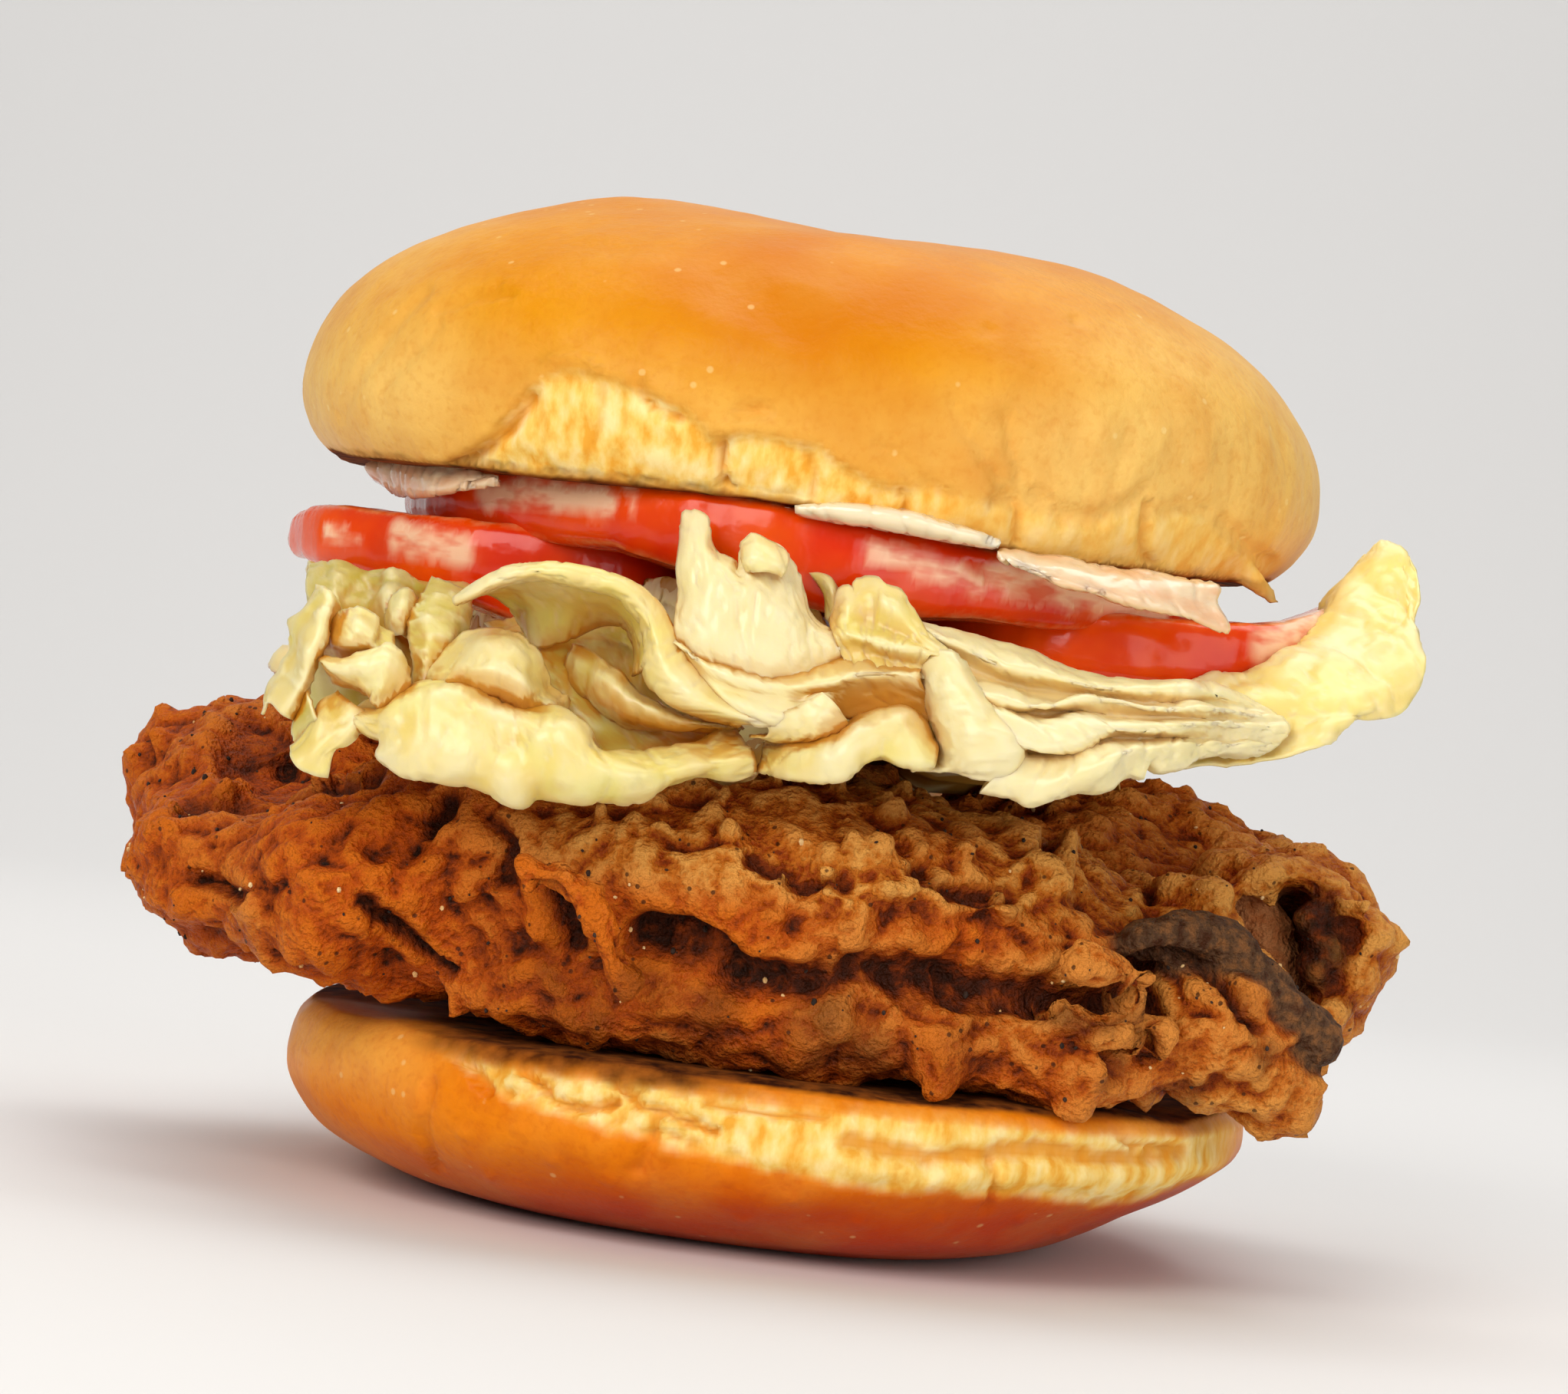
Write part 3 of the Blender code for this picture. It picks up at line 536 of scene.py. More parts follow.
# Craggy all over, but calmer on the strip, in the flap's lining and on the flap.
calm = eased(2.2, 4.2, from_line(points, STRIP)) * eased(4.0, 7.0, from_line(points, FLAP_LINING))
calm *= 1.0 - 0.6 * eased(47.0, 52.0, x) * eased(26.0, 30.0, z) * eased(0.0, -6.0, y)
height = 1.5 * knobs(bent, (9.0, 9.0, 6.5), 0.3) + 1.0 * knobs(bent, 4.2, 1.7) + 0.75 * knobs(bent, 2.3, 4.1)
height += 2.0 * np.abs(noise_at(bent, (10.0, 10.0, 6.0), 6.0)) - 0.4
height = height * (0.55 + 0.45 * calm) + 0.22 * knobs(points, 1.5, 9.0) + 0.12 * noise_at(points, 1.1, 8.0)
grooved = np.zeros(len(points))
for line, width, depth, darkening in GROOVES:
    away = from_line(points, line) + 0.5 * wander[:, 0] + 0.4 * noise_at(points, 1.8, 5.0)
    near = eased(width, 0.2 * width, away) * eased(-14.0, -24.0, y) * eased(0.35, -0.2, normals[:, 1])
    height -= depth * near
    grooved = np.maximum(grooved, darkening * near)
end_hollow = eased(7.5, 3.0, np.hypot(x + 57.5, 1.2 * (z - 45.5)) + 0.9 * wander[:, 0]) * eased(6.0, -6.0, y)
height -= 1.8 * end_hollow
grooved = np.maximum(grooved, 0.85 * end_hollow)
outward = softened(fillet.data, OUTWARD_ROUNDS, normals)
outward /= np.maximum(np.linalg.norm(outward, axis=1), 0.1)[:, None]
points += outward * (height - COAT_DRAWN_IN)[:, None]
points[:, 2] -= 0.6 * eased(-0.2, -0.7, outward[:, 2]) * eased(-15.0, -30.0, y) * eased(30.0, 24.0, z)
set_points(fillet.data, points)
hollow = hollows(fillet.data, 14)
# Painted shade darkens the grooves and the hollow at the left end. Real char lies by the flap and in patches,
# and the lower front is darkened in patches.
char_and_shade = np.maximum(0.85 * grooved, eased(4.2, 1.8, from_line(points, FLAP_CHAR) + 0.8 * wander[:, 1]))
patchy = eased(0.30, 0.62, noise_at(points, 5.0, 21.0)) * eased(-4.0, -16.0, y)
char_and_shade = np.maximum(char_and_shade, 0.5 * patchy * eased(36.0, 30.0, z) * eased(-10.0, 8.0, x))
under = eased(31.0, 26.0, z) * eased(-34.0, -18.0, x) * eased(26.0, 8.0, x) * eased(-4.0, -16.0, y)
char_and_shade = np.maximum(char_and_shade, under * np.clip(0.34 + 0.5 * noise_at(points, 4.0, 22.0), 0.0, 0.7))
# The height mark paints shade dark into the hollows and a pale highlight onto the tips.
mark(fillet.data, "height", np.clip(0.60 + 0.05 * height - 0.80 * hollow, 0.0, 1.0))
mark(fillet.data, "char_and_shade", np.clip(char_and_shade, 0.0, 1.0))
mark(fillet.data, "strip", eased(4.8, 3.0, from_line(points, STRIP) + 0.9 * wander[:, 2]))
mark(fillet.data, "lining", eased(6.2, 4.8, from_line(points, FLAP_LINING)) * eased(0.3, -0.1, normals[:, 1]))
# Painted light: the upper front, in the lettuce's shade, is painted a lighter tan. The right end's tan is its
# own colour.
high = eased(33.0, 38.5, z) * eased(-32.0, -18.0, x) * eased(0.0, -12.0, y)
mark(fillet.data, "tan_and_lit", np.clip(np.maximum(0.6 * eased(-6.0, 44.0, x), 0.95 * high)
                                 + 0.5 * noise_at(points, 12.0, 31.0), 0.0, 0.95))


def coating_finish():
    """Fried coat: painted shade in the hollows to painted highlight on the tips, by the marks height,
    tan_and_lit, char_and_shade and others.
    """
    made, tree, shader = finish("fried_coating", COAT_ORANGE, 0.55, {"Specular IOR Level": 0.14})
    mottle = object_noise(tree, 1.3, 6.0)
    grain = object_noise(tree, 0.55, 3.0)
    level = plus(tree, marked(tree, "height"), times(tree, plus(tree, mottle, -0.5), 0.75))
    level = plus(tree, level, times(tree, plus(tree, grain, -0.5), 0.55))
    # Painted shade and highlight: low levels, in the hollows, go black and dark; high levels, on the tips, go
    # tan.
    colour = ramp(tree, level, ((0.05, COAT_BLACK), (0.24, COAT_DARK), (0.42, COAT_DEEP), (0.62, COAT_ORANGE),
                                (0.92, COAT_TAN)))
    tan_and_lit = ramp(tree, level, ((0.14, COAT_DARK), (0.36, COAT_DEEP), (0.62, TIP_TAN), (0.90, TIP_HIGHLIGHT_PALE)))
    colour = mixed(tree, marked(tree, "tan_and_lit"), colour, tan_and_lit)
    colour = mixed(tree, times(tree, object_specks(tree, 2.4, 0.09, 0.03), 0.8), colour, COAT_SPECK)
    lining = ramp(tree, mottle, ((0.35, LINING_BROWN), (0.65, LINING_PINK)))
    colour = mixed(tree, marked(tree, "lining"), colour, lining)
    strip = ramp(tree, mottle, ((0.36, STRIP_DARK), (0.50, STRIP_GREY), (0.66, STRIP_BROWN)))
    colour = mixed(tree, marked(tree, "strip"), colour, strip)
    # Char on the flap and painted shade in the grooves share these colours.
    char_and_shade_colour = ramp(tree, mottle, ((0.38, COAT_BLACK), (0.55, CHAR_AND_SHADE_BROWN), (0.75, CHAR_AND_SHADE_EDGE)))
    colour = mixed(tree, marked(tree, "char_and_shade"), colour, char_and_shade_colour)
    tree.links.new(colour, shader.inputs["Base Color"])
    tree.links.new(ramp(tree, mottle, ((0.35, 0.38), (0.65, 0.75))), shader.inputs["Roughness"])
    bumped(tree, shader, plus(tree, times(tree, mottle, 0.6), grain), 0.9, 1.0)
    return made


dressed(fillet, coating_finish(), "fried_coating", "chicken_fillet")


def loose_bits(name, count, seed, small, large, colours):
    """Small bits stuck on the coat, as one piece."""
    shell = bmesh.new()
    for place, normal, share in zip(*spread_over(fillet.data, count, seed)):
        size = small + (large - small) * share ** 3
        add_lump(shell, place + 0.2 * size * normal, (size, 0.8 * size, 0.6 * size),
                 (9.0 * share, 8.0 * share * share, 5.0 * share), 1)
    mesh = bpy.data.meshes.new(name)
    shell.to_mesh(mesh)
    shell.free()
    bits = bpy.data.objects.new(name, mesh)
    bpy.context.scene.collection.objects.link(bits)
    made, tree, shader = finish(name, colours[0], 0.7, {"Specular IOR Level": 0.3})
    colour = ramp(tree, object_noise(tree, 3.0, 2.0), ((0.4, colours[0]), (0.6, colours[1])))
    tree.links.new(colour, shader.inputs["Base Color"])
    dressed(bits, made, "fried_coating")


loose_bits("pepper_specks", count=620, seed=11, small=0.14, large=0.46, colours=(PEPPER_BLACK, PEPPER_BROWN))
loose_bits("loose_crumbs", count=230, seed=12, small=0.16, large=0.48, colours=(CRUMB_TAN, CRUMB_LIGHT))

# Lettuce.
# Crisp pale leaves, each a thin waxy sheet with fine crinkles between its ribs. They lie on the
# fillet and on one another, and at the front they fold, curl and stand up past the bun's edge.
LEAF_CREAM = (0.87, 0.62, 0.17)
LEAF_YELLOW = (0.88, 0.74, 0.19)
LEAF_WHITE = (0.93, 0.80, 0.45)
LEAF_GREEN = (0.40, 0.33, 0.015)
# Painted shade for the leaves' caves and hollows.
LEAF_PAINTED_SHADE = (0.56, 0.215, 0.003)
LEAF_THICKNESS = 0.30
FOLD_GAP = 0.5
TUCKED_REACH = 36.0
CAVE_REACH = 11.0
CAVE_RAYS = 6
CAVE_SEED = 7
CAVE_SHARE = {"lettuce_right": 0.3, "lettuce_front": 0.5}
LEAF_NODES = ("lettuce_back", "lettuce_upper_back", "lettuce_left", "lettuce_front_left", "lettuce_curl",
              "lettuce_front", "lettuce_right")
LEAF_NEIGHBOURS = ("tomato_upper", "tomato_lower_left", "tomato_lower_right", "bun_crown", "chicken_fillet")
# The front of each leaf is drawn as folds. Each fold has a tint, above 0 greener and below 0 paler, how
# far it ruffles, and lines through its crests and hollows. A point is (across, up, depth) in
# millimetres, across and up as the camera sees it in the plane through the burger's middle.
LEAF_LINES = {
    "lettuce_left": (
        # Shaded back: its olive tint is partly painted shade.
        (0.75, 0.5, (
            ((-55.6, 62.6, -20), (-52, 62.8, -24), (-48, 62.4, -27), (-44, 62.4, -29), (-40, 62.2, -30),
             (-36, 62, -30)),
            ((-55.2, 62.4, -32), (-52, 63, -35), (-49, 62.2, -36), (-46.5, 63, -38), (-43, 62.2, -37),
             (-38, 61.6, -36)),
            ((-55, 57.5, -38), (-52, 58, -42), (-48.5, 57.5, -40), (-46, 57.5, -43), (-42, 57, -40),
             (-37, 57, -40)),
            ((-55, 52, -38), (-51, 52, -42), (-47, 52, -41), (-44, 52, -42), (-40, 52, -42), (-35, 52, -42)),
            ((-54, 46, -38), (-50, 46, -41), (-46, 46, -42), (-42, 46, -43), (-38, 46, -43), (-33, 46, -43)),
        )),
        # Outer flap.
        (0.15, 0.25, (
            ((-54.3, 60.9, -44), (-55, 58.6, -45), (-56.6, 56.6, -45), (-56, 55.4, -46), (-55.8, 53.8, -46),
             (-57, 51.5, -47), (-58.2, 49.2, -47), (-58.6, 46.4, -48)),
            ((-53.2, 60.6, -47), (-54, 58, -48.5), (-55, 55.8, -49.5), (-55, 53.5, -50), (-55.8, 51, -50),
             (-56.8, 49, -50), (-57.4, 47.6, -50)),
            ((-52.4, 59.8, -48.5), (-52.9, 58, -50.5), (-53.2, 55.5, -52), (-54, 53.3, -52.5),
             (-54.2, 51, -52.5), (-55, 49, -52), (-56, 46.6, -51)),
            ((-51.4, 58.6, -46), (-52.2, 56.5, -48.5), (-52.8, 54.2, -50.5), (-53.4, 52.2, -50.5),
             (-53.8, 50.2, -50.5), (-54.2, 48.4, -50), (-55, 46.2, -49)),
        )),
        # Upper ruffle.
        (-0.1, 0.3, (
            ((-52.4, 58.9, -45), (-51, 58.3, -46.5), (-49.2, 58.5, -48), (-47.8, 58, -48),
             (-46.9, 56.8, -46.5), (-45.5, 56.6, -46)),
            ((-52.6, 57, -48), (-51, 56.6, -50.5), (-49, 56.6, -52), (-47.5, 56.2, -51.5),
             (-46.8, 55.6, -49.5), (-45, 55.4, -49)),
            ((-52.8, 54.9, -49), (-51, 54.7, -51), (-49, 54.8, -52), (-47.4, 54.7, -52), (-46, 54.2, -52),
             (-44.4, 54, -51)),
            ((-52.7, 53.4, -47), (-51, 53.4, -48.5), (-49, 53.6, -49.5), (-47, 53.4, -50),
             (-45.5, 53, -50.5), (-43.6, 52.6, -50)),
        )),
        # Middle ruffle.
        (-0.25, 0.35, (
            ((-52.6, 53.8, -51.5), (-51, 53.2, -52.5), (-49.4, 53.6, -53), (-47.6, 54.6, -53.5),
             (-46, 55.9, -53), (-44.6, 55.2, -52.5), (-43.6, 53.6, -52), (-43.1, 51.3, -51)),
            ((-53.1, 52.8, -52.5), (-51, 52.1, -54), (-49, 52.3, -54.5), (-47, 53, -55), (-45.8, 53.8, -55),
             (-44.8, 53.2, -54.5), (-44, 52.2, -54), (-43.4, 50.9, -53)),
            ((-52.4, 51.9, -52), (-50.5, 51.2, -53), (-48.6, 51, -53.5), (-47.2, 51.2, -54.5),
             (-46.4, 51.4, -55), (-45.4, 51, -54.5), (-44.6, 50.4, -54), (-43.8, 49.8, -53)),
            ((-51, 50.8, -49.5), (-49.6, 50.2, -50), (-48.2, 49.9, -50.5), (-47, 49.4, -52),
             (-46.6, 48.8, -53), (-46, 48.4, -53), (-45.4, 48.2, -52.5), (-44.6, 48, -52)),
        )),
        # Green fold.
        (1.0, 0.15, (
            ((-54.2, 50.6, -50.5), (-53.8, 49.2, -51.5), (-53, 47.6, -52), (-52.2, 46.4, -52),
             (-51.4, 45.4, -51.5)),
            ((-54.8, 49.6, -50), (-54.4, 48.2, -50.5), (-54, 46.6, -51), (-53.4, 45.6, -51),
             (-52.6, 44.9, -50.5)),
            ((-55.2, 48.2, -49), (-55, 46.6, -49.5), (-54.9, 45.2, -50), (-54.6, 44.2, -50),
             (-54, 43.5, -50)),
        )),
        # Hanging tongue.
        (0.2, 0.3, (
            ((-50.6, 50, -50), (-49.6, 49.2, -51), (-48.4, 48.4, -52), (-47.2, 48, -52), (-46.6, 47.2, -51)),
            ((-52.6, 48.4, -51), (-51.4, 47, -52.5), (-50, 46.4, -53), (-48.6, 46.2, -53),
             (-47.8, 45.6, -52)),
            ((-53.4, 46, -51.5), (-52.6, 45, -53), (-51.8, 44.4, -53.5), (-50.4, 44, -53.5),
             (-49, 44.2, -52.5)),
            ((-54.4, 44, -51.5), (-53.4, 43, -53), (-52.4, 42.6, -53.5), (-51.4, 42.6, -53.5),
             (-50.2, 43.2, -53)),
            ((-55, 43.4, -51), (-54.6, 42, -52.5), (-53.4, 40.9, -53), (-52, 40.5, -53),
             (-50.5, 40.5, -52.5)),
        )),
        # Standing lobe.
        (0.3, 0.2, (
            ((-42, 63, -38), (-42.8, 61, -41), (-43.9, 58.6, -44), (-43.9, 56.5, -46), (-43.2, 54, -48),
             (-42.8, 52, -49), (-42.6, 50.8, -50)),
            ((-40.8, 62.8, -39.5), (-41.4, 60.5, -43.5), (-42, 58.4, -46.5), (-41.8, 56.2, -48),
             (-41.6, 53.8, -49.5), (-41.4, 52, -50), (-41, 50.8, -50)),
            ((-38.8, 62.3, -39.5), (-39, 60.4, -43), (-39.4, 58.4, -45.5), (-39.6, 56.4, -47),
             (-40, 54.4, -48), (-40, 52.4, -49), (-39.6, 51, -49)),
            ((-37.6, 61.2, -38), (-37.5, 59.6, -40), (-37.8, 58, -42), (-38.6, 56.6, -43.5),
             (-39, 54.8, -45), (-38.6, 53, -46), (-38, 51.6, -46)),
        )),
        # Rear lobe.
        (0.1, 0.2, (
            ((-46.6, 59.6, -41), (-46, 61, -42), (-44.8, 61.7, -42), (-43.6, 61.4, -41), (-42.8, 60.2, -41)),
            ((-46.6, 58.4, -43), (-45.6, 58.8, -45), (-44.6, 59, -45), (-43.8, 58.6, -44),
             (-43.2, 57.8, -43)),
            ((-46.2, 56.4, -43), (-45.4, 56.4, -44.5), (-44.6, 56.6, -45), (-44, 56.4, -44),
             (-43.4, 56, -43)),
        )),
    ),
    "lettuce_front_left": (
        # Pleated lobe.
        (-0.15, 0.3, (
            ((-41.8, 53.6, -46), (-40.2, 55.8, -47), (-38.6, 57.1, -48), (-36.6, 58.2, -48.5),
             (-34.5, 58.5, -49), (-32.4, 58.1, -50), (-30.6, 57, -50.5), (-29.3, 55.9, -50.5),
             (-28.6, 54.6, -50), (-28.1, 53, -49), (-27, 52.6, -48.5), (-25.9, 52.1, -47.5),
             (-25.7, 50.8, -47)),
            ((-41.6, 52.4, -48.5), (-39.8, 54.2, -50.5), (-38, 55.6, -51.5), (-36, 56.6, -52.5),
             (-34.2, 56.8, -53), (-32.4, 56.4, -53.5), (-31, 55.4, -53.5), (-30, 54.2, -53),
             (-29.3, 53, -52.5), (-28.6, 51.9, -51.5), (-27.8, 51.6, -51), (-27, 51.2, -50),
             (-26.6, 50.4, -49)),
            ((-41.6, 51.2, -50), (-39.8, 52.4, -52.5), (-38, 53.4, -54), (-36, 54, -55),
             (-34.2, 54.2, -55.5), (-32.6, 53.8, -55.5), (-31.2, 53.2, -55.5), (-30.4, 52.4, -55),
             (-29.8, 51.6, -54), (-29.2, 51, -53), (-28.6, 50.8, -52.5), (-28, 50.6, -52), (-27.6, 50, -51)),
            ((-42, 49.8, -50), (-40, 50.6, -52), (-38, 51.2, -53), (-36, 51.4, -54), (-34, 51.2, -54),
             (-32.6, 50.8, -54), (-31.4, 50.4, -54), (-30.6, 50, -53.5), (-30, 49.7, -53),
             (-29.4, 49.4, -52), (-28.8, 49.2, -51.5), (-28.2, 49, -51), (-27.8, 48.8, -50)),
        )),
        # Long fold.
        (0.0, 0.3, (
            ((-47.6, 49.2, -46), (-46, 49.6, -47), (-43.5, 50.6, -48), (-40, 51.6, -48), (-36, 51.2, -48),
             (-32, 50.2, -48), (-28.5, 50, -49), (-25.4, 49.4, -50), (-23.4, 48, -50), (-21.6, 46.6, -49),
             (-18, 46, -48), (-14.5, 46.8, -47), (-11, 48.4, -46), (-8, 50.4, -46)),
            ((-48.9, 47.7, -50.5), (-47, 48.1, -52), (-45.4, 48.9, -53), (-43.5, 50.9, -53.5),
             (-40, 52.2, -53), (-36, 52.1, -52.5), (-32.6, 51, -52.5), (-29.5, 50.5, -54),
             (-27.4, 50.9, -55), (-25, 50.3, -56), (-23.5, 49.1, -56), (-22.7, 47.3, -55.5), (-19, 47, -54),
             (-15, 47.9, -52.5), (-11, 49.6, -51), (-8, 51.2, -49.5)),
            ((-48.7, 47.2, -52), (-46.8, 47.1, -54), (-44.8, 47.7, -56), (-42.2, 49, -57),
             (-38.6, 49.8, -57.5), (-35, 49.4, -57), (-32, 48.4, -57.5), (-29.6, 48.2, -58.5),
             (-26.8, 48.2, -59), (-24.4, 47.5, -59), (-22.4, 46.5, -58.5), (-18.6, 46.1, -57.5),
             (-14.6, 46.9, -56), (-10.6, 48.2, -54), (-6.6, 49.8, -52)),
            ((-48.4, 46.8, -52.5), (-46, 46.2, -55), (-44, 46, -57), (-41.4, 46.2, -58), (-38, 46.6, -58.5),
             (-34.4, 46.2, -58.5), (-31.2, 45.7, -58.5), (-28.4, 45.9, -59), (-25.6, 45.6, -59.5),
             (-22.8, 45, -59.5), (-19.6, 44.6, -59), (-16.2, 45, -57.5), (-12.6, 46.2, -56),
             (-9, 47.4, -54.5), (-5.8, 49, -52.5)),
            ((-48, 46.5, -52), (-45.4, 45.2, -55), (-44.3, 44.4, -57), (-41.6, 43.8, -58),
             (-38, 43.7, -58.5), (-34.2, 43.6, -58.5), (-31, 43.1, -59), (-28.4, 43.5, -58.5),
             (-25.4, 43.3, -59), (-22.6, 43, -59), (-19.4, 43, -58), (-16, 43.8, -57), (-12.4, 45.2, -55.5),
             (-9, 46.4, -54), (-5.4, 48, -52.5)),
            ((-47.2, 46.1, -50.5), (-45.2, 45, -53), (-45.5, 43.7, -55), (-43, 42.3, -56.5),
             (-39, 41.6, -57.5), (-34.5, 41.6, -57), (-31.6, 40.5, -57.5), (-30, 40.4, -57.5),
             (-28.3, 41.7, -56), (-25.2, 41.3, -57), (-23.5, 41, -57), (-21, 41.4, -56.5),
             (-17.5, 42.2, -55.5), (-14, 44.1, -54), (-11, 45.3, -53), (-8, 45.7, -52.5),
             (-5.2, 46.8, -51.5)),
            ((-46, 45.6, -46), (-44.8, 45.4, -48), (-44, 44.6, -49), (-41.6, 43.9, -50), (-38, 43.4, -50.5),
             (-34.2, 43.2, -50.5), (-31, 42.8, -50.5), (-28.4, 43, -50), (-25.4, 43, -50),
             (-22.6, 43.4, -50), (-19.4, 44, -49), (-16, 45, -48), (-12.4, 46.2, -47), (-9, 47, -46.5),
             (-5.4, 47.8, -46)),
        )),
        # Centre tab.
        (0.1, 0.3, (
            ((-5, 50, -47), (-3, 50.4, -50), (-1.5, 51.2, -52), (1, 52, -53), (3.5, 53, -53),
             (5.5, 54.4, -52), (7.6, 55.1, -52), (9.7, 55.4, -52), (11.7, 54.6, -51.5), (13.4, 53.2, -51)),
            ((-4.6, 49.2, -50), (-2.9, 49.2, -53), (-1.2, 50.4, -55), (1, 51.2, -56), (3.5, 52.1, -56.5),
             (5.6, 53.9, -56), (7.6, 54.6, -56), (9.7, 54.9, -55.5), (11.7, 53.9, -55), (13.4, 52.5, -54)),
            ((-4.4, 48.4, -51), (-2.9, 48.2, -54.5), (-1, 49.1, -57), (1.2, 49.6, -58), (3.7, 50.2, -58.5),
             (5.8, 51.8, -58), (7.8, 52.6, -58), (9.8, 52.8, -57.5), (11.8, 52, -57), (13.7, 51.4, -56)),
            ((-4.8, 47.4, -51), (-2.9, 47, -54.5), (-0.8, 47, -57), (1.6, 47.2, -58), (4.2, 47.9, -58.5),
             (6.2, 49.6, -58), (7.9, 50.4, -58), (10.2, 50.2, -58), (12.2, 50, -57.5), (13.5, 49.9, -56.5)),
            ((-4.6, 47.6, -46), (-3, 47.8, -48), (-1, 48.2, -50), (1.6, 48.4, -51), (4.2, 49, -51),
             (6.2, 50, -51), (8, 50.8, -51), (10.2, 50.8, -51), (12.2, 50.6, -50), (13.4, 50.6, -49)),
        )),
    ),
    "lettuce_curl": (
        # Cave wall: its olive tint is partly painted shade.
        (0.7, 0.3, (
            ((-36, 59, -33), (-32, 60.5, -34), (-28, 61, -33), (-24, 61.5, -34), (-20, 61, -36),
             (-15, 60, -38)),
            ((-33.5, 57, -40), (-30, 57.6, -42), (-27, 58, -40), (-24, 58.4, -41), (-20.5, 58, -41),
             (-16, 56, -43)),
            ((-31, 54, -43), (-28.4, 54, -45), (-26, 54.4, -44), (-23.6, 54.6, -44), (-20.5, 54, -44),
             (-16, 53, -45)),
            ((-30, 50, -44), (-27, 50.2, -46), (-24.4, 50.2, -46), (-22, 49.6, -45.5), (-18, 49.2, -46),
             (-11, 50, -46)),
            ((-28, 46, -44), (-25, 46, -45), (-22, 46, -45), (-19, 46, -45), (-15, 46.4, -45), (-9, 48, -45)),
        )),
        # Inner fold.
        (0.45, 0.2, (
            ((-26.4, 58, -42), (-24.2, 57.5, -44), (-22.6, 56.4, -46.5), (-21.6, 55.8, -47.5),
             (-20.8, 55.4, -48), (-18, 53.4, -49.5), (-15, 52.2, -50), (-11, 51.7, -50), (-7, 51.2, -49)),
            ((-26.6, 56.2, -43), (-24.4, 55.4, -46), (-22.8, 54.6, -48.5), (-21.2, 53.8, -50),
             (-19.4, 52.9, -51), (-17, 51.9, -51.5), (-14.4, 51.3, -51.5), (-11, 51.2, -51),
             (-7.4, 51.1, -49.5)),
            ((-26.8, 54, -43), (-24.8, 53.2, -45.5), (-22.8, 52.4, -48), (-21, 51.6, -49.5),
             (-19, 50.9, -50.5), (-16.8, 50.4, -51), (-14.4, 50.2, -51), (-11, 50.6, -50.5),
             (-7.6, 50.9, -49)),
            ((-26, 52, -42), (-24, 51.2, -43), (-22, 50.6, -44.5), (-20, 50.1, -46), (-18, 49.8, -47),
             (-16, 49.8, -47.5), (-14, 49.9, -48), (-11, 50.4, -48), (-8, 50.7, -47)),
        )),
        # Curl inside.
        (0.4, 0.15, (
            ((-37.6, 61.8, -48.5), (-34.6, 63.6, -50.5), (-31.5, 64.7, -51), (-28.4, 64.6, -51.5),
             (-25, 64.3, -51.5), (-22.5, 64.2, -51.5), (-20.6, 63.2, -51.5), (-19, 61.4, -51.5),
             (-18.2, 59, -51.5), (-18.2, 56.4, -52)),
            ((-35.6, 62, -46), (-33.6, 63, -47), (-31.2, 63.2, -48), (-28.2, 63, -48.5), (-25, 62.8, -48.5),
             (-22.6, 62.6, -48.5), (-20.8, 61.8, -49), (-19.4, 60.2, -49.5), (-18.8, 58.2, -50),
             (-18.8, 56, -50.5)),
            ((-34, 61.2, -43.5), (-32.8, 61.2, -44), (-30.8, 60.9, -45), (-28, 61, -45.5),
             (-25, 61.4, -45.5), (-22.8, 61.6, -46), (-21, 61, -46.5), (-19.8, 59.6, -47),
             (-19.2, 57.6, -48), (-19.2, 55.6, -49)),
            ((-33, 60.2, -41), (-32, 58.8, -42), (-30.4, 57.1, -43), (-28, 57.7, -43), (-25.4, 59.2, -42.5),
             (-23, 60.4, -42.5), (-21.2, 60.4, -43), (-20.2, 59, -44), (-19.6, 57, -45.5),
             (-19.4, 55.2, -47)),
        )),
        # Curl rim.
        (-0.1, 0.12, (
            ((-37.4, 62.2, -47), (-35, 64, -48.5), (-32, 65.2, -49), (-29, 65.5, -49.5), (-25, 65.2, -49.5),
             (-22, 64.8, -49.5), (-19.8, 63.6, -49.5), (-18, 62, -49.5), (-16.6, 60, -50),
             (-15, 57.6, -51.5), (-12, 54.8, -52.5), (-9, 53, -52.5), (-5, 52.4, -52), (-2, 53.4, -51.5)),
            ((-39.3, 61.3, -49.5), (-37.5, 62.8, -51), (-35, 64.8, -52), (-32, 65.8, -52.5),
             (-29, 66.2, -53), (-25, 66, -53), (-22, 65.5, -53), (-19.5, 64.4, -53), (-17.5, 62.9, -53),
             (-16, 60.9, -53.5), (-14, 58, -54.5), (-11, 55.2, -55.5), (-8, 53.4, -56), (-4, 52.6, -55.5),
             (0, 53.8, -54.5)),
            ((-39.4, 61, -50), (-37.3, 62.4, -51.8), (-34.6, 64.3, -52.8), (-31.6, 65.3, -53.4),
             (-28.6, 65.6, -53.8), (-25, 65.3, -53.8), (-22.2, 64.9, -53.8), (-20.1, 63.7, -53.8),
             (-18.4, 62, -53.8), (-17.3, 59.8, -54.2), (-16, 57, -55.4), (-13.4, 54.6, -56.4),
             (-10, 53, -56.8), (-5.4, 52.2, -56.2), (-1.4, 53, -55.2)),
            ((-39, 60.7, -49.8), (-36.8, 62, -51.4), (-34, 63.6, -52.4), (-31, 64.6, -53),
             (-28, 64.4, -53.2), (-25, 64.1, -53.2), (-22.5, 64, -53.2), (-20.7, 62.9, -53.2),
             (-19.1, 61.3, -53.2), (-18.4, 59, -53.4), (-18.2, 56.5, -54), (-17.2, 54.4, -54.5),
             (-15.4, 53, -54.8), (-11.5, 52, -54.5), (-7, 51.4, -53.6)),
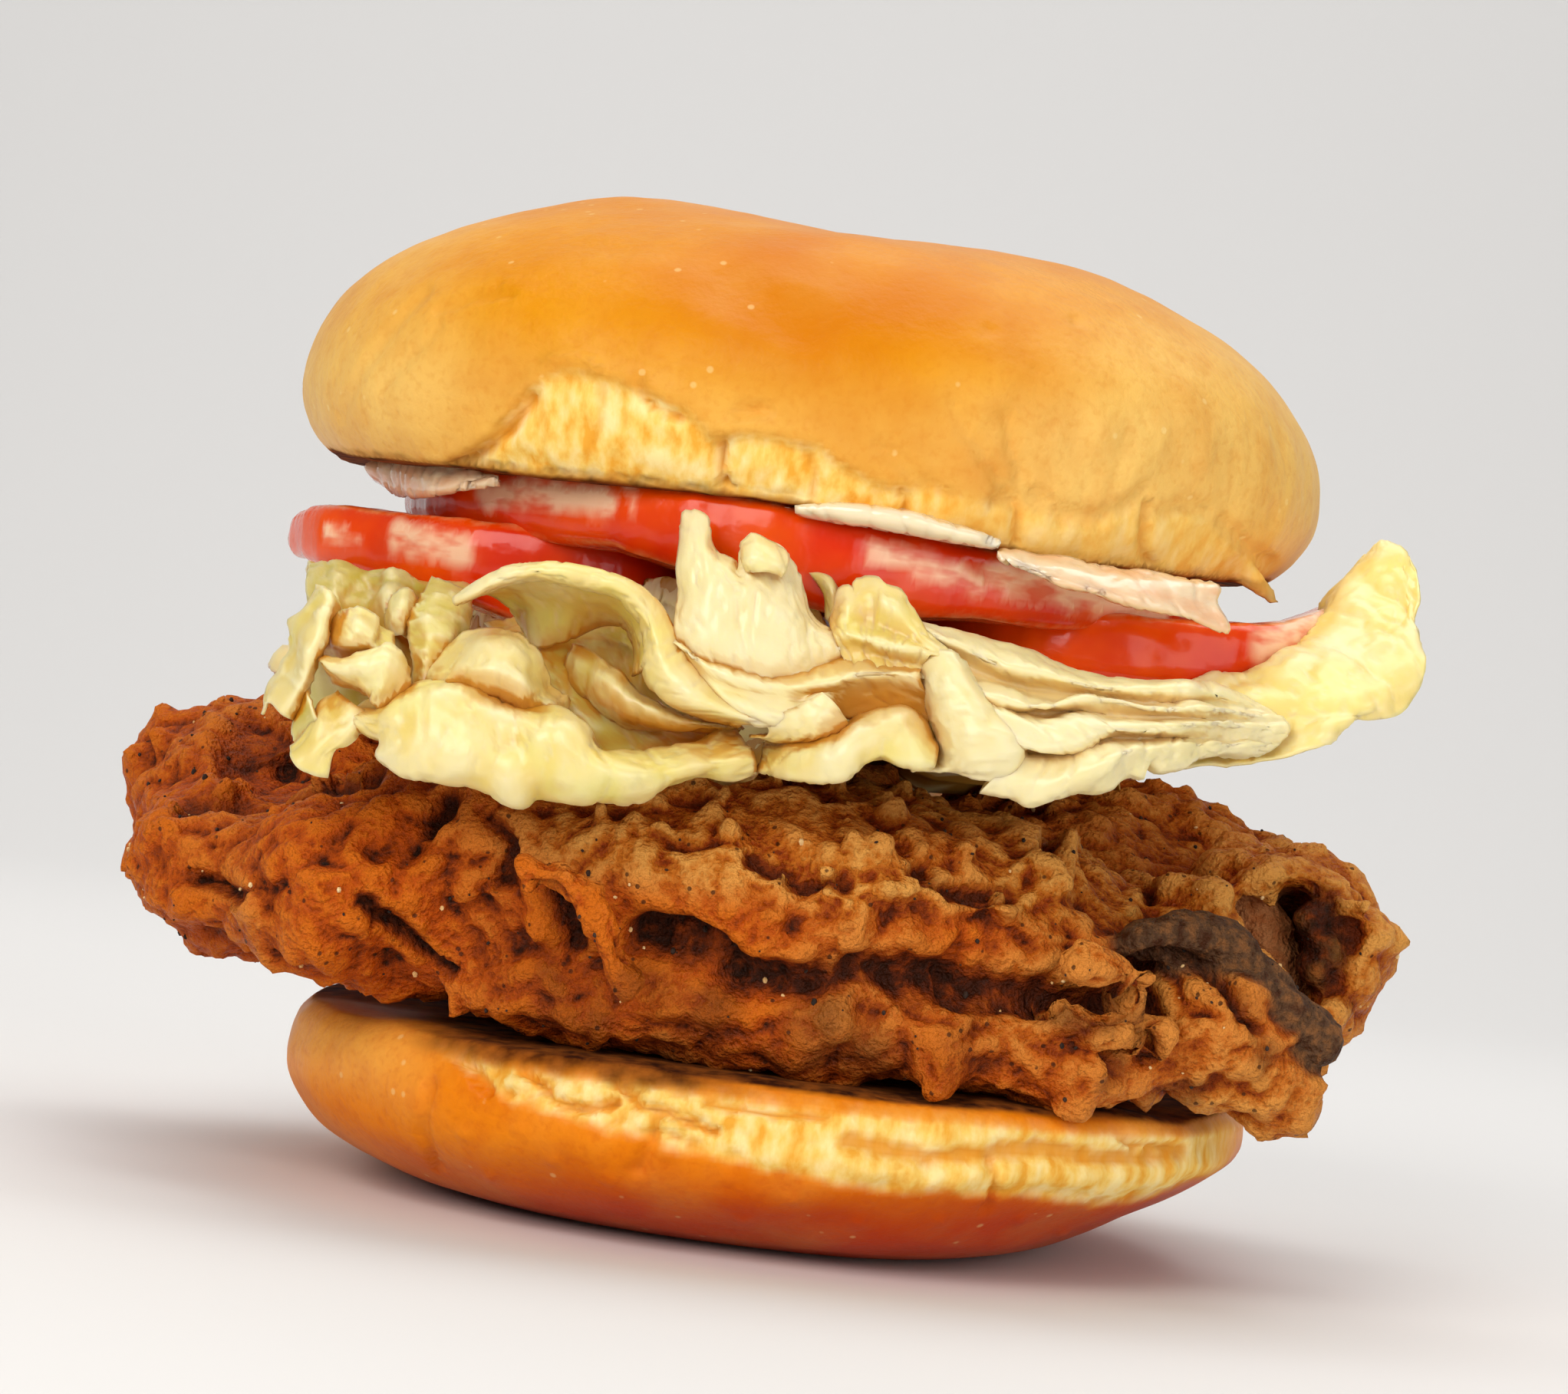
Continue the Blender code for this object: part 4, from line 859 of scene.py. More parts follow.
            ((-37.8, 61.4, -48.6), (-35.6, 62.6, -50), (-33, 63.6, -50.8), (-30.6, 64.2, -51.2),
             (-28, 64, -51.4), (-25, 63.7, -51.4), (-22.8, 63.5, -51.4), (-21, 62.5, -51.6),
             (-19.5, 60.9, -51.6), (-18.8, 58.8, -51.8), (-18.6, 56.2, -52), (-17.4, 53.9, -52.4),
             (-15.4, 52.7, -52.4), (-11.8, 51.8, -52), (-7.6, 51.2, -51.4)),
        )),
        # Bowl.
        (-0.3, 0.25, (
            ((-15.8, 61.5, -49), (-13, 61, -48.5), (-9, 60.6, -48), (-5, 60.8, -48), (-1, 61.6, -48),
             (2, 62.6, -48.5), (5, 63, -50), (9, 62.4, -51)),
            ((-15.5, 59.7, -54), (-13.4, 58.6, -54), (-10, 58.2, -53), (-6, 58.2, -52.5), (-2, 58.8, -52),
             (1.6, 59.8, -52), (5, 60.2, -52.5), (8, 60, -53), (11, 59.8, -53)),
            ((-15.2, 59.2, -54.6), (-12, 57.4, -56), (-8.4, 56.3, -56.5), (-5, 56, -56.5),
             (-1.4, 56.4, -56.2), (1.8, 57.2, -55.8), (4.6, 58.2, -55.6), (7.4, 58.6, -55.2),
             (11, 58.7, -54.4)),
            ((-14.2, 58, -54.6), (-11, 55.9, -55.8), (-8, 55.1, -56), (-4.6, 54.8, -56), (-1.6, 55.2, -55.8),
             (0.6, 56, -55.4), (4, 56.9, -54.2), (7.6, 57.2, -53.8), (12, 57, -53)),
            ((-12, 55.6, -55), (-9.6, 54, -56.2), (-7, 53.2, -56.6), (-4, 53, -56.6), (-1.4, 54, -56.2),
             (0.8, 55.5, -55.8), (3.6, 55.4, -53.4), (7.6, 55.8, -52.8), (12.6, 55.6, -52.4)),
            ((-9, 52.4, -54), (-7.6, 51.9, -55), (-5.6, 51.6, -55.6), (-3.4, 52, -55.8), (-1.2, 52.8, -55.6),
             (0.6, 53.8, -55), (3.2, 53.4, -52.8), (7.4, 54.2, -52), (12.8, 54.2, -52)),
        )),
        # Twist.
        (-0.1, 0.12, (
            ((-5.4, 52.2, -55.6), (-3, 53.4, -56.4), (-0.8, 54.8, -57), (0.8, 56, -57)),
            ((-4.4, 51.4, -55.6), (-1.8, 52.2, -57), (0.6, 53.4, -57.6), (2.4, 54.8, -57)),
            ((-4.6, 50.6, -54.6), (-1.6, 51, -56.4), (1.4, 51.8, -57), (3.9, 53, -56)),
            ((-6.4, 50.4, -52.8), (-3, 50.2, -54), (-0.6, 50.4, -55), (2.6, 51.3, -55)),
        )),
    ),
    "lettuce_front": (
        # Tall tab.
        (-0.75, 0.3, (
            ((-16.6, 72.3, -47.6), (-16.1, 73.3, -48.2), (-15, 73.6, -48.8), (-13.6, 73.1, -49.4),
             (-13, 71.8, -49.8), (-12.7, 70.6, -50), (-11.6, 69.5, -50.5), (-10.4, 68.8, -51),
             (-9.4, 68.1, -51.6), (-9.8, 69.6, -52), (-9.5, 70.8, -52.2), (-8.4, 71.7, -52),
             (-7, 71.4, -51.6), (-5.6, 70.9, -51.2), (-4.4, 70, -50.8), (-3.5, 68.8, -50.4),
             (-2.6, 67.2, -50), (-2, 65.6, -49.6), (-1.1, 64.2, -49.2), (-0.2, 63.2, -49)),
            ((-16.6, 70.6, -49.2), (-16, 71.2, -50), (-14.8, 71.2, -50.8), (-13.8, 70.4, -51.4),
             (-13.2, 69.4, -51.8), (-12.4, 68.6, -52), (-11.4, 68, -52.2), (-10.4, 67.5, -52.6),
             (-9.6, 67.2, -52.8), (-9, 68.2, -52.8), (-8.4, 68.9, -52.8), (-7.4, 69.2, -52.6),
             (-6.2, 69, -52.4), (-5.2, 68.6, -52.2), (-4.4, 68, -52), (-3.6, 67, -51.6), (-2.8, 65.8, -51.2),
             (-2.2, 64.6, -50.8), (-1.2, 63.6, -50.4), (0.2, 62.8, -50)),
            ((-16.2, 66.5, -51.5), (-15.2, 66.6, -52.6), (-14, 66.4, -53.4), (-12.8, 66.2, -53.8),
             (-11.4, 65.8, -54), (-10, 65.6, -54.2), (-8.6, 65.8, -54.4), (-7.2, 66, -54.4),
             (-5.6, 65.6, -54), (-4.4, 65, -53.4), (-3.2, 64.2, -52.8), (-2, 63.4, -52), (-0.4, 62.6, -51.2),
             (1.2, 62.4, -50.8)),
            ((-15.9, 63, -52.6), (-14.4, 62.8, -54), (-12.6, 62.6, -54.8), (-10.6, 62.4, -55),
             (-8.4, 62.2, -55), (-6, 62, -54.8), (-4, 61.8, -54.2), (-2, 61.6, -53.4), (0.4, 61.8, -52.4),
             (2, 62.2, -51.6)),
            ((-15.6, 60.2, -53.4), (-14, 59.6, -54.6), (-12, 59.2, -55.2), (-9.6, 58.8, -55.4),
             (-7, 58.7, -55.2), (-4.4, 58.8, -54.8), (-2, 59.2, -54.2), (0.4, 60, -53.2), (2.4, 61, -52.4)),
            ((-15.2, 58.4, -53), (-13.4, 57.6, -54.4), (-11, 57, -54.8), (-8.4, 56.6, -54.8),
             (-5.6, 56.6, -54.6), (-3, 57, -54.2), (-0.6, 57.8, -53.4), (1.6, 58.8, -52.4), (3, 59.8, -51.8)),
        )),
        # Rolled lip.
        (-0.4, 0.25, (
            ((-10.1, 69.2, -51.4), (-9.9, 70.6, -52), (-8.8, 71.9, -52.4), (-7.4, 71.7, -52.4),
             (-5.8, 71.1, -52.2), (-4.6, 70.1, -51.8)),
            ((-9.6, 69, -53), (-9.2, 70, -53.8), (-8.2, 70.8, -54.2), (-7, 70.6, -54.2), (-5.6, 70, -53.8),
             (-4.6, 69.2, -53.2)),
            ((-9.2, 68.4, -54), (-8.6, 68.8, -54.8), (-7.8, 69.3, -55.2), (-6.8, 69.2, -55.2),
             (-5.6, 68.8, -54.8), (-4.8, 68.2, -54)),
            ((-9, 67.9, -53.2), (-8.2, 67.8, -54.2), (-7.4, 67.9, -54.8), (-6.6, 68, -54.8),
             (-5.8, 68, -54.2), (-5, 67.8, -53.4)),
        )),
        # Rear tab.
        (0.6, 0.15, (
            ((-2.2, 68.5, -46.5), (-1, 68.7, -47), (0.2, 68.3, -47.4), (1, 67.4, -47.6)),
            ((-1.4, 67.6, -46.8), (-0.2, 67.6, -48), (0.6, 67, -48.4), (1.2, 66.2, -48.2)),
            ((-0.2, 66, -47), (0.4, 65.6, -48), (0.9, 65.2, -48.4), (1.3, 64.8, -48.2)),
            ((0.2, 64, -47), (0.6, 63.6, -48), (1, 63.4, -48.2), (1.4, 63.2, -48)),
        )),
        # Yellow folds.
        (0.15, 0.2, (
            ((0.9, 64.2, -48.6), (1.2, 66, -49), (1.5, 67.3, -49.4), (2.1, 67.6, -49.8), (2.9, 67.2, -50),
             (2.9, 68.2, -49.6), (3.3, 68.7, -49.4), (5.3, 69, -50), (6, 68.2, -50.8), (7.8, 67.7, -50.8),
             (8.8, 66.6, -51.4), (10, 65.2, -52), (11.6, 63.6, -52.8), (13.2, 62.2, -53.4),
             (14.6, 61.2, -53.6)),
            ((0.6, 63.6, -50), (1.6, 64.8, -51.4), (2.4, 65.6, -51.8), (3.2, 66, -51.6), (3.8, 66.4, -51.4),
             (4.8, 66.8, -51.6), (5.8, 66.6, -52.6), (7, 66, -53), (8.2, 65.2, -53), (9.4, 64.2, -53.2),
             (10.8, 63, -53.8), (12.2, 62, -54.4), (13.6, 61, -54.8)),
            ((0.8, 62.9, -51.4), (2, 63.4, -52.6), (3, 63.9, -52.4), (4.2, 64.1, -52), (5.6, 64, -52.2),
             (7, 63.6, -52.6), (8.4, 63, -53), (9.8, 62.4, -53.6), (11, 61.9, -54.2), (12.2, 61.3, -54.8)),
            ((1.4, 62, -52.6), (2.8, 62.3, -53.6), (4.4, 62.3, -54), (6, 62, -54.4), (7.6, 61.8, -54.6),
             (9.2, 61.7, -54.8), (10.6, 61.6, -54.8), (11.6, 61.2, -54.6)),
            ((2, 60.8, -52.4), (3.6, 61, -52.8), (5.2, 60.9, -52.8), (6.8, 60.6, -53), (8.4, 60.4, -53.2),
             (10, 60.3, -53.4), (11.4, 60.2, -53.4)),
            ((3, 59, -52.8), (4.6, 59, -53.4), (6.2, 58.9, -54), (8, 58.9, -54), (9.8, 58.8, -54),
             (11.6, 58.7, -53.6)),
        )),
    ),
    "lettuce_right": (
        # Front lobe.
        (-0.55, 0.25, (
            ((11, 60.4, -51.6), (11.4, 58, -52), (12.2, 55.6, -52.4), (13.2, 53.4, -52.6),
             (13.8, 51.6, -52.6), (13.9, 50.2, -52.6), (11.2, 49, -53)),
            ((11.5, 61.3, -53.6), (12.3, 58.6, -55), (13.2, 55.8, -55.8), (14.2, 53.4, -56.2),
             (15, 51.4, -56.2), (15, 50.2, -55.8), (12.6, 49.1, -54)),
            ((13, 61.9, -54.2), (14, 59, -56.4), (15.4, 56, -57.6), (16.8, 53.4, -58.2), (17.6, 51.6, -58.2),
             (17.2, 50.2, -57.6), (15.4, 49.3, -55.6)),
            ((14.2, 61.6, -53.8), (15.8, 59, -56.2), (17.8, 56.2, -57.8), (19.6, 53.8, -58.6),
             (20.4, 52, -58.6), (19.8, 50.2, -58), (18, 49, -56.6)),
            ((15.2, 60.8, -52.6), (17.2, 58.2, -55), (19.6, 56, -56.6), (21.8, 53.8, -57.4),
             (22.4, 52.2, -57.6), (21.8, 50.4, -57.4), (20, 48.8, -56.8)),
            ((15.4, 59.8, -51), (17.4, 57.4, -53), (20, 55.4, -54.6), (22, 53.4, -55.6), (22.6, 51.8, -56),
             (22, 50.2, -56), (20.6, 48.8, -55.4)),
        )),
        # Pleats.
        (-0.75, 0.3, (
            ((9.6, 62.5, -44), (13, 62.2, -42), (18, 61.4, -41), (23, 60.6, -40), (28, 59.8, -39),
             (34, 59.6, -37), (40, 60, -35), (47, 59.8, -31)),
            ((10.2, 64.7, -51), (13, 64.3, -50), (17, 63.7, -49.4), (21, 63, -49), (25, 62, -48.6),
             (30, 61.2, -48), (35, 61.5, -46.6), (40, 62.2, -44), (48, 60.6, -36)),
            ((11.6, 63.4, -52.6), (15, 62.3, -52.4), (19, 61, -52.2), (23, 60.6, -51.8), (28, 60, -51.2),
             (34, 60.1, -50), (40, 60.8, -47.2), (48.8, 60, -39)),
            ((12.8, 62.4, -51.6), (16, 60.8, -50.8), (20, 59.6, -50.2), (25, 59.2, -49.8), (30, 59.2, -49.4),
             (36, 59.3, -48.2), (41, 60, -45.6), (49.4, 59.6, -40)),
            ((13.8, 61.8, -54.2), (15.8, 59.2, -54.8), (18, 57.8, -55.4), (21, 57.2, -55.4), (25, 57.4, -55),
             (28.4, 58.6, -53.8), (32, 58.9, -52.8), (36, 58.5, -51.8), (41, 59.2, -49.4), (50, 59.2, -41.4)),
            ((14.8, 60.4, -53), (17, 58.2, -53), (19.4, 56.8, -53), (23, 56.6, -52.8), (28, 57.2, -52),
             (33, 57.4, -51.2), (38, 57.9, -49.8), (50.4, 58.8, -41.6)),
            ((17.4, 57.4, -55), (20, 55.8, -56.4), (23, 55.5, -56.6), (26, 55.7, -56.2), (30, 56.4, -55.2),
             (34, 56.9, -54), (38, 57.2, -52.4), (43, 57.8, -48.6), (50.8, 58.3, -42)),
            ((20.8, 54, -56.4), (23, 52.8, -57.8), (26, 53, -57.4), (28.6, 53.9, -56.8), (31, 55.3, -55.8),
             (35, 55.8, -54.4), (38, 56.4, -52.8), (42, 57.2, -48.8), (50.8, 57.6, -42.4)),
            ((21.6, 53, -54), (24.6, 52.6, -54), (27.6, 53.2, -53.8), (30.6, 54.6, -53.2),
             (34.6, 55.2, -52.2), (39, 55.8, -49.8), (50.2, 56.8, -42.6)),
            ((21.4, 51.4, -56.6), (24.4, 51.4, -56), (27, 51, -56.8), (29.6, 51.6, -58), (32.4, 52.8, -58.2),
             (34.4, 53.9, -56.8), (36.6, 54.2, -54.6), (39.6, 55, -51.6), (49.8, 56.2, -43)),
            ((20.2, 49.4, -57), (23, 49.4, -57.2), (26, 49.6, -57.6), (29, 50.2, -58), (32, 51.2, -58),
             (34.2, 52.6, -56.4), (36.6, 53.4, -54.4), (39.4, 54.2, -51.8), (49.2, 55.6, -43)),
            ((19.2, 48.1, -56.4), (22, 47.8, -57), (24.5, 47.4, -57.2), (27, 48.2, -57.2), (30, 49.2, -56.8),
             (33, 50.2, -56), (34.5, 51.4, -55.4), (36.1, 51.6, -54.8), (36.4, 53, -53.8),
             (37.6, 52.7, -53.2), (39.2, 53.2, -51.8), (41.4, 54, -49.6), (48.4, 55, -43)),
            ((19.8, 49, -49), (24, 48.8, -50), (28, 49.4, -50), (33, 51.2, -49.4), (38, 53.2, -46),
             (47.6, 54.8, -40)),
        )),
        # Far lobe.
        (-0.15, 0.5, (
            ((40, 59, -30), (45, 61, -26), (49.5, 64, -22), (52, 68, -18), (53.4, 72.6, -15),
             (56.2, 77, -15)),
            ((37, 60.8, -34), (45.4, 64, -34), (49.6, 66.8, -31), (53, 70.2, -26), (55, 74, -23),
             (57.2, 78.4, -20)),
            ((37, 59, -36), (47, 61, -37.6), (53, 63.8, -37), (57, 67.4, -32.6), (59, 72.6, -27.6),
             (58.8, 79.4, -22)),
            ((37, 57, -38), (48.5, 58.6, -39.6), (55.4, 61.6, -39.4), (59.4, 65.6, -35), (61.2, 71.6, -29),
             (60.2, 79, -22.6)),
            ((36, 54.6, -40), (48.6, 56.3, -41), (55.4, 59, -41.4), (60.4, 62.2, -38), (62.8, 66.4, -34),
             (62.2, 71.4, -29.6), (61.4, 77.6, -23.4)),
            ((35, 52.2, -41), (48.4, 54.4, -42), (53.6, 56.4, -42), (56.6, 58.9, -40), (59.8, 60.2, -38.4),
             (62.4, 61.2, -37), (63.8, 63.6, -35.4), (64.3, 66.8, -33.4), (63, 69.4, -31), (62.6, 71, -29.8),
             (62.9, 74, -27.6), (62, 76.8, -24.6)),
        )),
    ),
}


def in_place(point):
    """Where a point drawn in the plane through the burger's middle lies at its own depth."""
    across, up, depth = point
    eye = CAMERA_PLACE / MM
    share = (depth - eye.y) / -eye.y
    return eye.x + (across - eye.x) * share, depth, eye.z + (up - eye.z) * share


def through(points, count):
    """A smooth curve through rows of points, or a surface through rows of lines, evenly spaced."""
    points = np.array(points, dtype=float)
    steps = np.linalg.norm(np.diff(points, axis=0), axis=-1).reshape(len(points) - 1, -1).mean(axis=1)
    place = np.concatenate([[0.0], np.cumsum(np.maximum(steps, 0.01))])
    slope = np.gradient(points, place, axis=0)
    where = np.linspace(0.0, place[-1], count)
    first = np.clip(np.searchsorted(place, where, side="right") - 1, 0, len(points) - 2)
    span = (place[first + 1] - place[first]).reshape((-1,) + (1,) * (points.ndim - 1))
    share = (where - place[first]).reshape(span.shape) / span
    cube, square = share ** 3, share ** 2
    return ((2 * cube - 3 * square + 1) * points[first] + (cube - 2 * square + share) * span * slope[first]
            + (3 * square - 2 * cube) * points[first + 1] + (cube - square) * span * slope[first + 1])


def fold_grid(lines, ruffle, seed):
    """One fold of a sheet: a ruffled grid of points through its lines, and the ribs that run across it."""
    lines = [[in_place(point) for point in line] for line in lines]
    length = max(np.linalg.norm(np.diff(np.array(line), axis=0), axis=1).sum() for line in lines)
    columns = int(length / FOLD_GAP) + 4
    drawn = np.array([through(line, columns) for line in lines])
    depth = np.linalg.norm(np.diff(drawn, axis=0), axis=-1).sum(axis=0).max()
    grid = through(drawn, int(depth / FOLD_GAP) + 4)
    normal = np.cross(np.gradient(grid, axis=1), np.gradient(grid, axis=0))
    normal /= np.maximum(np.linalg.norm(normal, axis=-1, keepdims=True), 1e-6)
    rows, columns = grid.shape[:2]
    flat = grid.reshape(-1, 3)
    u, v = np.meshgrid(np.arange(columns) * FOLD_GAP, np.arange(rows) * FOLD_GAP)
    laid = np.stack([u, v, np.zeros_like(u)], axis=-1).reshape(-1, 3)
    veins = noise_at(laid + 0.8 * noise_at(laid, 3.0, seed)[:, None], (2.2, 9.0, 1.0), seed)
    ribs = np.clip(1.0 - 8.0 * np.abs(veins), 0.0, 1.0)
    rim = eased(3.0, 0.0, np.minimum(v, v[-1, 0] - v)).ravel()
    wave = (0.4 - 1.5 * np.abs(noise_at(flat, 6.5, seed)) + 0.7 * noise_at(flat, 4.5, seed + 3.0)
            + 0.2 * (0.5 - 2.0 * np.abs(noise_at(flat, 2.6, seed + 1.0)))
            + 0.5 * rim * noise_at(flat, 1.6, seed + 2.0))
    lift = 1.8 * ruffle * wave + 0.24 * ribs + 0.05 * noise_at(laid, (0.9, 2.6, 1.0), seed + 4.0)
    return grid + normal * lift.reshape(rows, columns, 1), ribs


def add_sheet(shell, lines, ruffle, seed, thickness, shade):
    """Adds one fold as a sheet with its thickness, and the marks rib and tint, to a mesh."""
    grid, ribs = fold_grid(lines, ruffle, seed)
    rows, columns = grid.shape[:2]
    at = np.arange((rows - 1) * columns).reshape(rows - 1, columns)[:, :-1].ravel()
    faces = np.stack([at, at + 1, at + columns + 1, at + columns], axis=1)
    mesh = bpy.data.meshes.new("fold")
    mesh.from_pydata((grid.reshape(-1, 3) * MM).tolist(), [], faces.tolist())
    mark(mesh, "rib", ribs)
    mark(mesh, "tint", np.full(rows * columns, shade))
    folded = bpy.data.objects.new("fold", mesh)
    bpy.context.scene.collection.objects.link(folded)
    thicken = folded.modifiers.new("Thickness", "SOLIDIFY")
    thicken.thickness = thickness * MM
    thicken.offset = 0.0
    graph = bpy.context.evaluated_depsgraph_get()
    shell.from_mesh(folded.evaluated_get(graph).to_mesh())
    bpy.data.objects.remove(folded)


def tucked_leaf(node):
    """The rest of a leaf, from its CAD solid, drawn in under the stack where the front folds hang."""
    at_back = "back" in node
    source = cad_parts[node].data.copy()
    shell = bmesh.new()
    shell.from_mesh(source)
    bmesh.ops.remove_doubles(shell, verts=shell.verts, dist=0.01 * MM)
    bmesh.ops.subdivide_edges(shell, edges=shell.edges, cuts=2, use_grid_fill=True, smooth=1.0)
    shell.to_mesh(source)
    shell.free()
    points, normals = points_of(source)
    reach = np.hypot(points[:, 0], points[:, 1])
    keep = np.ones(len(points))
    ahead = np.maximum(eased(14.0, -6.0, points[:, 1]), at_back * eased(24.0, 36.0, points[:, 0]))
    keep -= 0.9 * eased(34.0, 44.0, reach) * ahead
    drawn_in = (TUCKED_REACH + (reach - TUCKED_REACH) * keep) / np.maximum(reach, 1.0)
    points[:, :2] *= np.where(reach > TUCKED_REACH, drawn_in, 1.0)[:, None]
    crinkle = noise_at(points, (7.5, 7.5, 40.0), 1.0) + 0.4 * noise_at(points, (3.6, 3.6, 40.0), 3.0)
    points -= normals * 0.2
    points[:, 2] += 0.7 * crinkle * np.where(reach > 30.0, 1.0, 0.4)
    if node == "lettuce_right":
        points[:, 2] -= 0.85 * ahead * np.clip(points[:, 2] - 61.0, 0.0, 30.0)
    if node in ("lettuce_front", "lettuce_right"):
        points[:, 2] += ahead * eased(33.0, 37.0, reach) * np.clip(52.5 - points[:, 2], 0.0, 9.0)
    set_points(source, points)
    return source


def leaf_piece(node):
    """A whole leaf: its tucked part and its front folds."""
    shell = bmesh.new()
    shell.from_mesh(tucked_leaf(node))
    shell.verts.layers.float.new("rib")
    shell.verts.layers.float.new("tint")
    for index, (shade, ruffle, lines) in enumerate(LEAF_LINES.get(node, ())):
        add_sheet(shell, lines, ruffle, 1.7 * index + 0.31 * len(node), LEAF_THICKNESS, shade)
    mesh = bpy.data.meshes.new(node + "_leaf")
    shell.to_mesh(mesh)
    shell.free()
    mesh.shade_smooth()
    leaf = bpy.data.objects.new(node + "_leaf", mesh)
    bpy.context.scene.collection.objects.link(leaf)
    return leaf


def surface_of(*meshes):
    """One searchable surface of several meshes."""
    points, faces = [], []
    for mesh in meshes:
        faces += [[corner + len(points) for corner in face.vertices] for face in mesh.polygons]
        points += [point.co.copy() for point in mesh.vertices]
    return BVHTree.FromPolygons(points, faces)


def sheltered(mesh, around):
    """How far each point is shut in by the surfaces around it: 0 in the open, 1 deep in a cave."""
    points, normals = points_of(mesh)
    chance = np.random.default_rng(CAVE_SEED)
    spread = chance.normal(size=(CAVE_RAYS, 3))
    spread /= np.linalg.norm(spread, axis=1, keepdims=True)
    blocked = np.zeros(len(points))
    starts = [Vector(point) * MM for point in (points + 0.6 * normals).tolist()]
    for ray in spread:
        ways = (normals + 0.95 * ray).tolist()
        for index, (start, way) in enumerate(zip(starts, ways)):
            hit = around.ray_cast(start, way, CAVE_REACH * MM)[3]
            if hit is not None:
                blocked[index] += 1.0 - hit / (CAVE_REACH * MM)
    return blocked / CAVE_RAYS


def leaf_finish():
    """Waxy leaf, by the marks tint, rib, fold and cave_shade: painted shade in hollows and caves, painted
    light on crests.
    """
    made, tree, shader = finish("lettuce", LEAF_CREAM, 0.34, {"Subsurface Weight": 0.35, "Coat Weight": 0.2,
                                                              "Coat Roughness": 0.3})
    shader.inputs["Subsurface Radius"].default_value = (1.0, 0.80, 0.25)
    shader.inputs["Subsurface Scale"].default_value = 1.6 * MM
    wide = object_noise(tree, 9.0, 3.0)
    fine = object_noise(tree, 1.0, 6.0)
    colour = ramp(tree, wide, ((0.34, LEAF_YELLOW), (0.52, LEAF_CREAM), (0.74, LEAF_WHITE)))
    colour = mixed(tree, ramp(tree, marked(tree, "tint"), ((0.0, 0.0), (1.0, 0.9))), colour, LEAF_GREEN)
    pale = times(tree, marked(tree, "tint"), -1.0)
    colour = mixed(tree, ramp(tree, pale, ((0.0, 0.0), (1.0, 0.9))), colour, LEAF_WHITE)
    colour = mixed(tree, times(tree, marked(tree, "rib"), 0.45), colour, LEAF_WHITE)
    # Painted shade into hollows and caves, and painted light onto the crests.
    colour = mixed(tree, ramp(tree, marked(tree, "fold"), ((0.54, 0.0), (1.0, 0.45))), colour, LEAF_PAINTED_SHADE)
    colour = mixed(tree, ramp(tree, marked(tree, "fold"), ((0.10, 0.6), (0.46, 0.0))), colour, LEAF_WHITE)
    colour = mixed(tree, ramp(tree, marked(tree, "cave_shade"), ((0.06, 0.0), (0.50, 0.9))), colour, LEAF_PAINTED_SHADE)
    tree.links.new(colour, shader.inputs["Base Color"])
    bumped(tree, shader, fine, 0.10, 0.5)
    return made


lettuce = leaf_finish()
leaves = {node: leaf_piece(node) for node in LEAF_NODES}
stack = surface_of(*(leaf.data for leaf in leaves.values()),
                   *(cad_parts[name].data for name in LEAF_NEIGHBOURS))
# Each leaf's caves and hollows are marked for painted shade, and its crests for painted light.
for node, leaf in leaves.items():
    contrast = 0.5 if node == "lettuce_right" else 0.9
    mark(leaf.data, "cave_shade", sheltered(leaf.data, stack) * CAVE_SHARE.get(node, 1.0))
    mark(leaf.data, "fold", np.clip(0.48 + contrast * hollows(leaf.data, 20), 0.0, 1.0))
    dressed(leaf, lettuce, "lettuce", node)

# Tomato.
# Slices of ripe tomato, wet and glossy, with a tight red skin round the edge and juicy flesh on the
# cut faces. Sauce has smeared a whitish film over parts of the skin; the film also stands for painted
# highlights. Shade under the slices above is painted in as darker red.
TOMATO_VOXEL = 0.6 * MM
SKIN_RED = (0.68, 0.026, 0.0002)
SKIN_PAINTED_SHADE = (0.48, 0.008, 0.0002)
SKIN_ORANGE = (0.82, 0.080, 0.001)
FLESH_PINK = (0.82, 0.26, 0.09)
FILM_AND_HIGHLIGHT_CREAM = (0.92, 0.60, 0.38)
# How far each slice's lower face hangs down and its upper face stands up at the front, by place across.
SAG = {
    "tomato_upper": ((-45, 0.0), (-21, 0.5), (-15, 1.6), (-8, 2.4), (0, 3.8), (6, 3.2), (14, 2.4), (31, 1.4),
                     (45, 0.4)),
    "tomato_lower_left": ((-57, 1.0), (-40, 1.6), (-30, 3.6), (-21, 7.4), (-12, 9.5)),
    "tomato_lower_right": ((10, 0.0), (50, 0.0)),
}
LIFT = {
    "tomato_upper": ((-45, 0.6), (-30, 1.1), (-10, 1.1), (4, 0.6), (20, 0.2), (45, 0.0)),
    "tomato_lower_left": ((-57, 0.6), (-40, 1.0), (-12, 1.0)),
    "tomato_lower_right": ((8, 3.0), (20, 3.0), (36, 2.4), (46, 0.3), (56, 0.0)),
}
# Each smear of sauce, which also paints a highlight there: its line as seen from the front, and its width.
SAUCE_AND_HIGHLIGHTS = {
    "tomato_upper": ((((-35.0, 71.6), (-29.0, 72.0), (-23.0, 71.8)), 2.0),
                     (((-20.5, 73.6), (-20.0, 71.0)), 1.1),
                     (((4.0, 70.0), (9.0, 69.4), (14.0, 68.4)), 1.5),
                     (((16.0, 69.4), (24.0, 68.5), (33.0, 67.9)), 1.9)),
    "tomato_lower_left": ((((-43.0, 66.4), (-37.0, 65.6)), 2.3), (((-51.0, 66.0), (-48.0, 65.6)), 0.9)),
    "tomato_lower_right": ((((44.0, 66.0), (50.0, 70.0)), 2.4),),
}


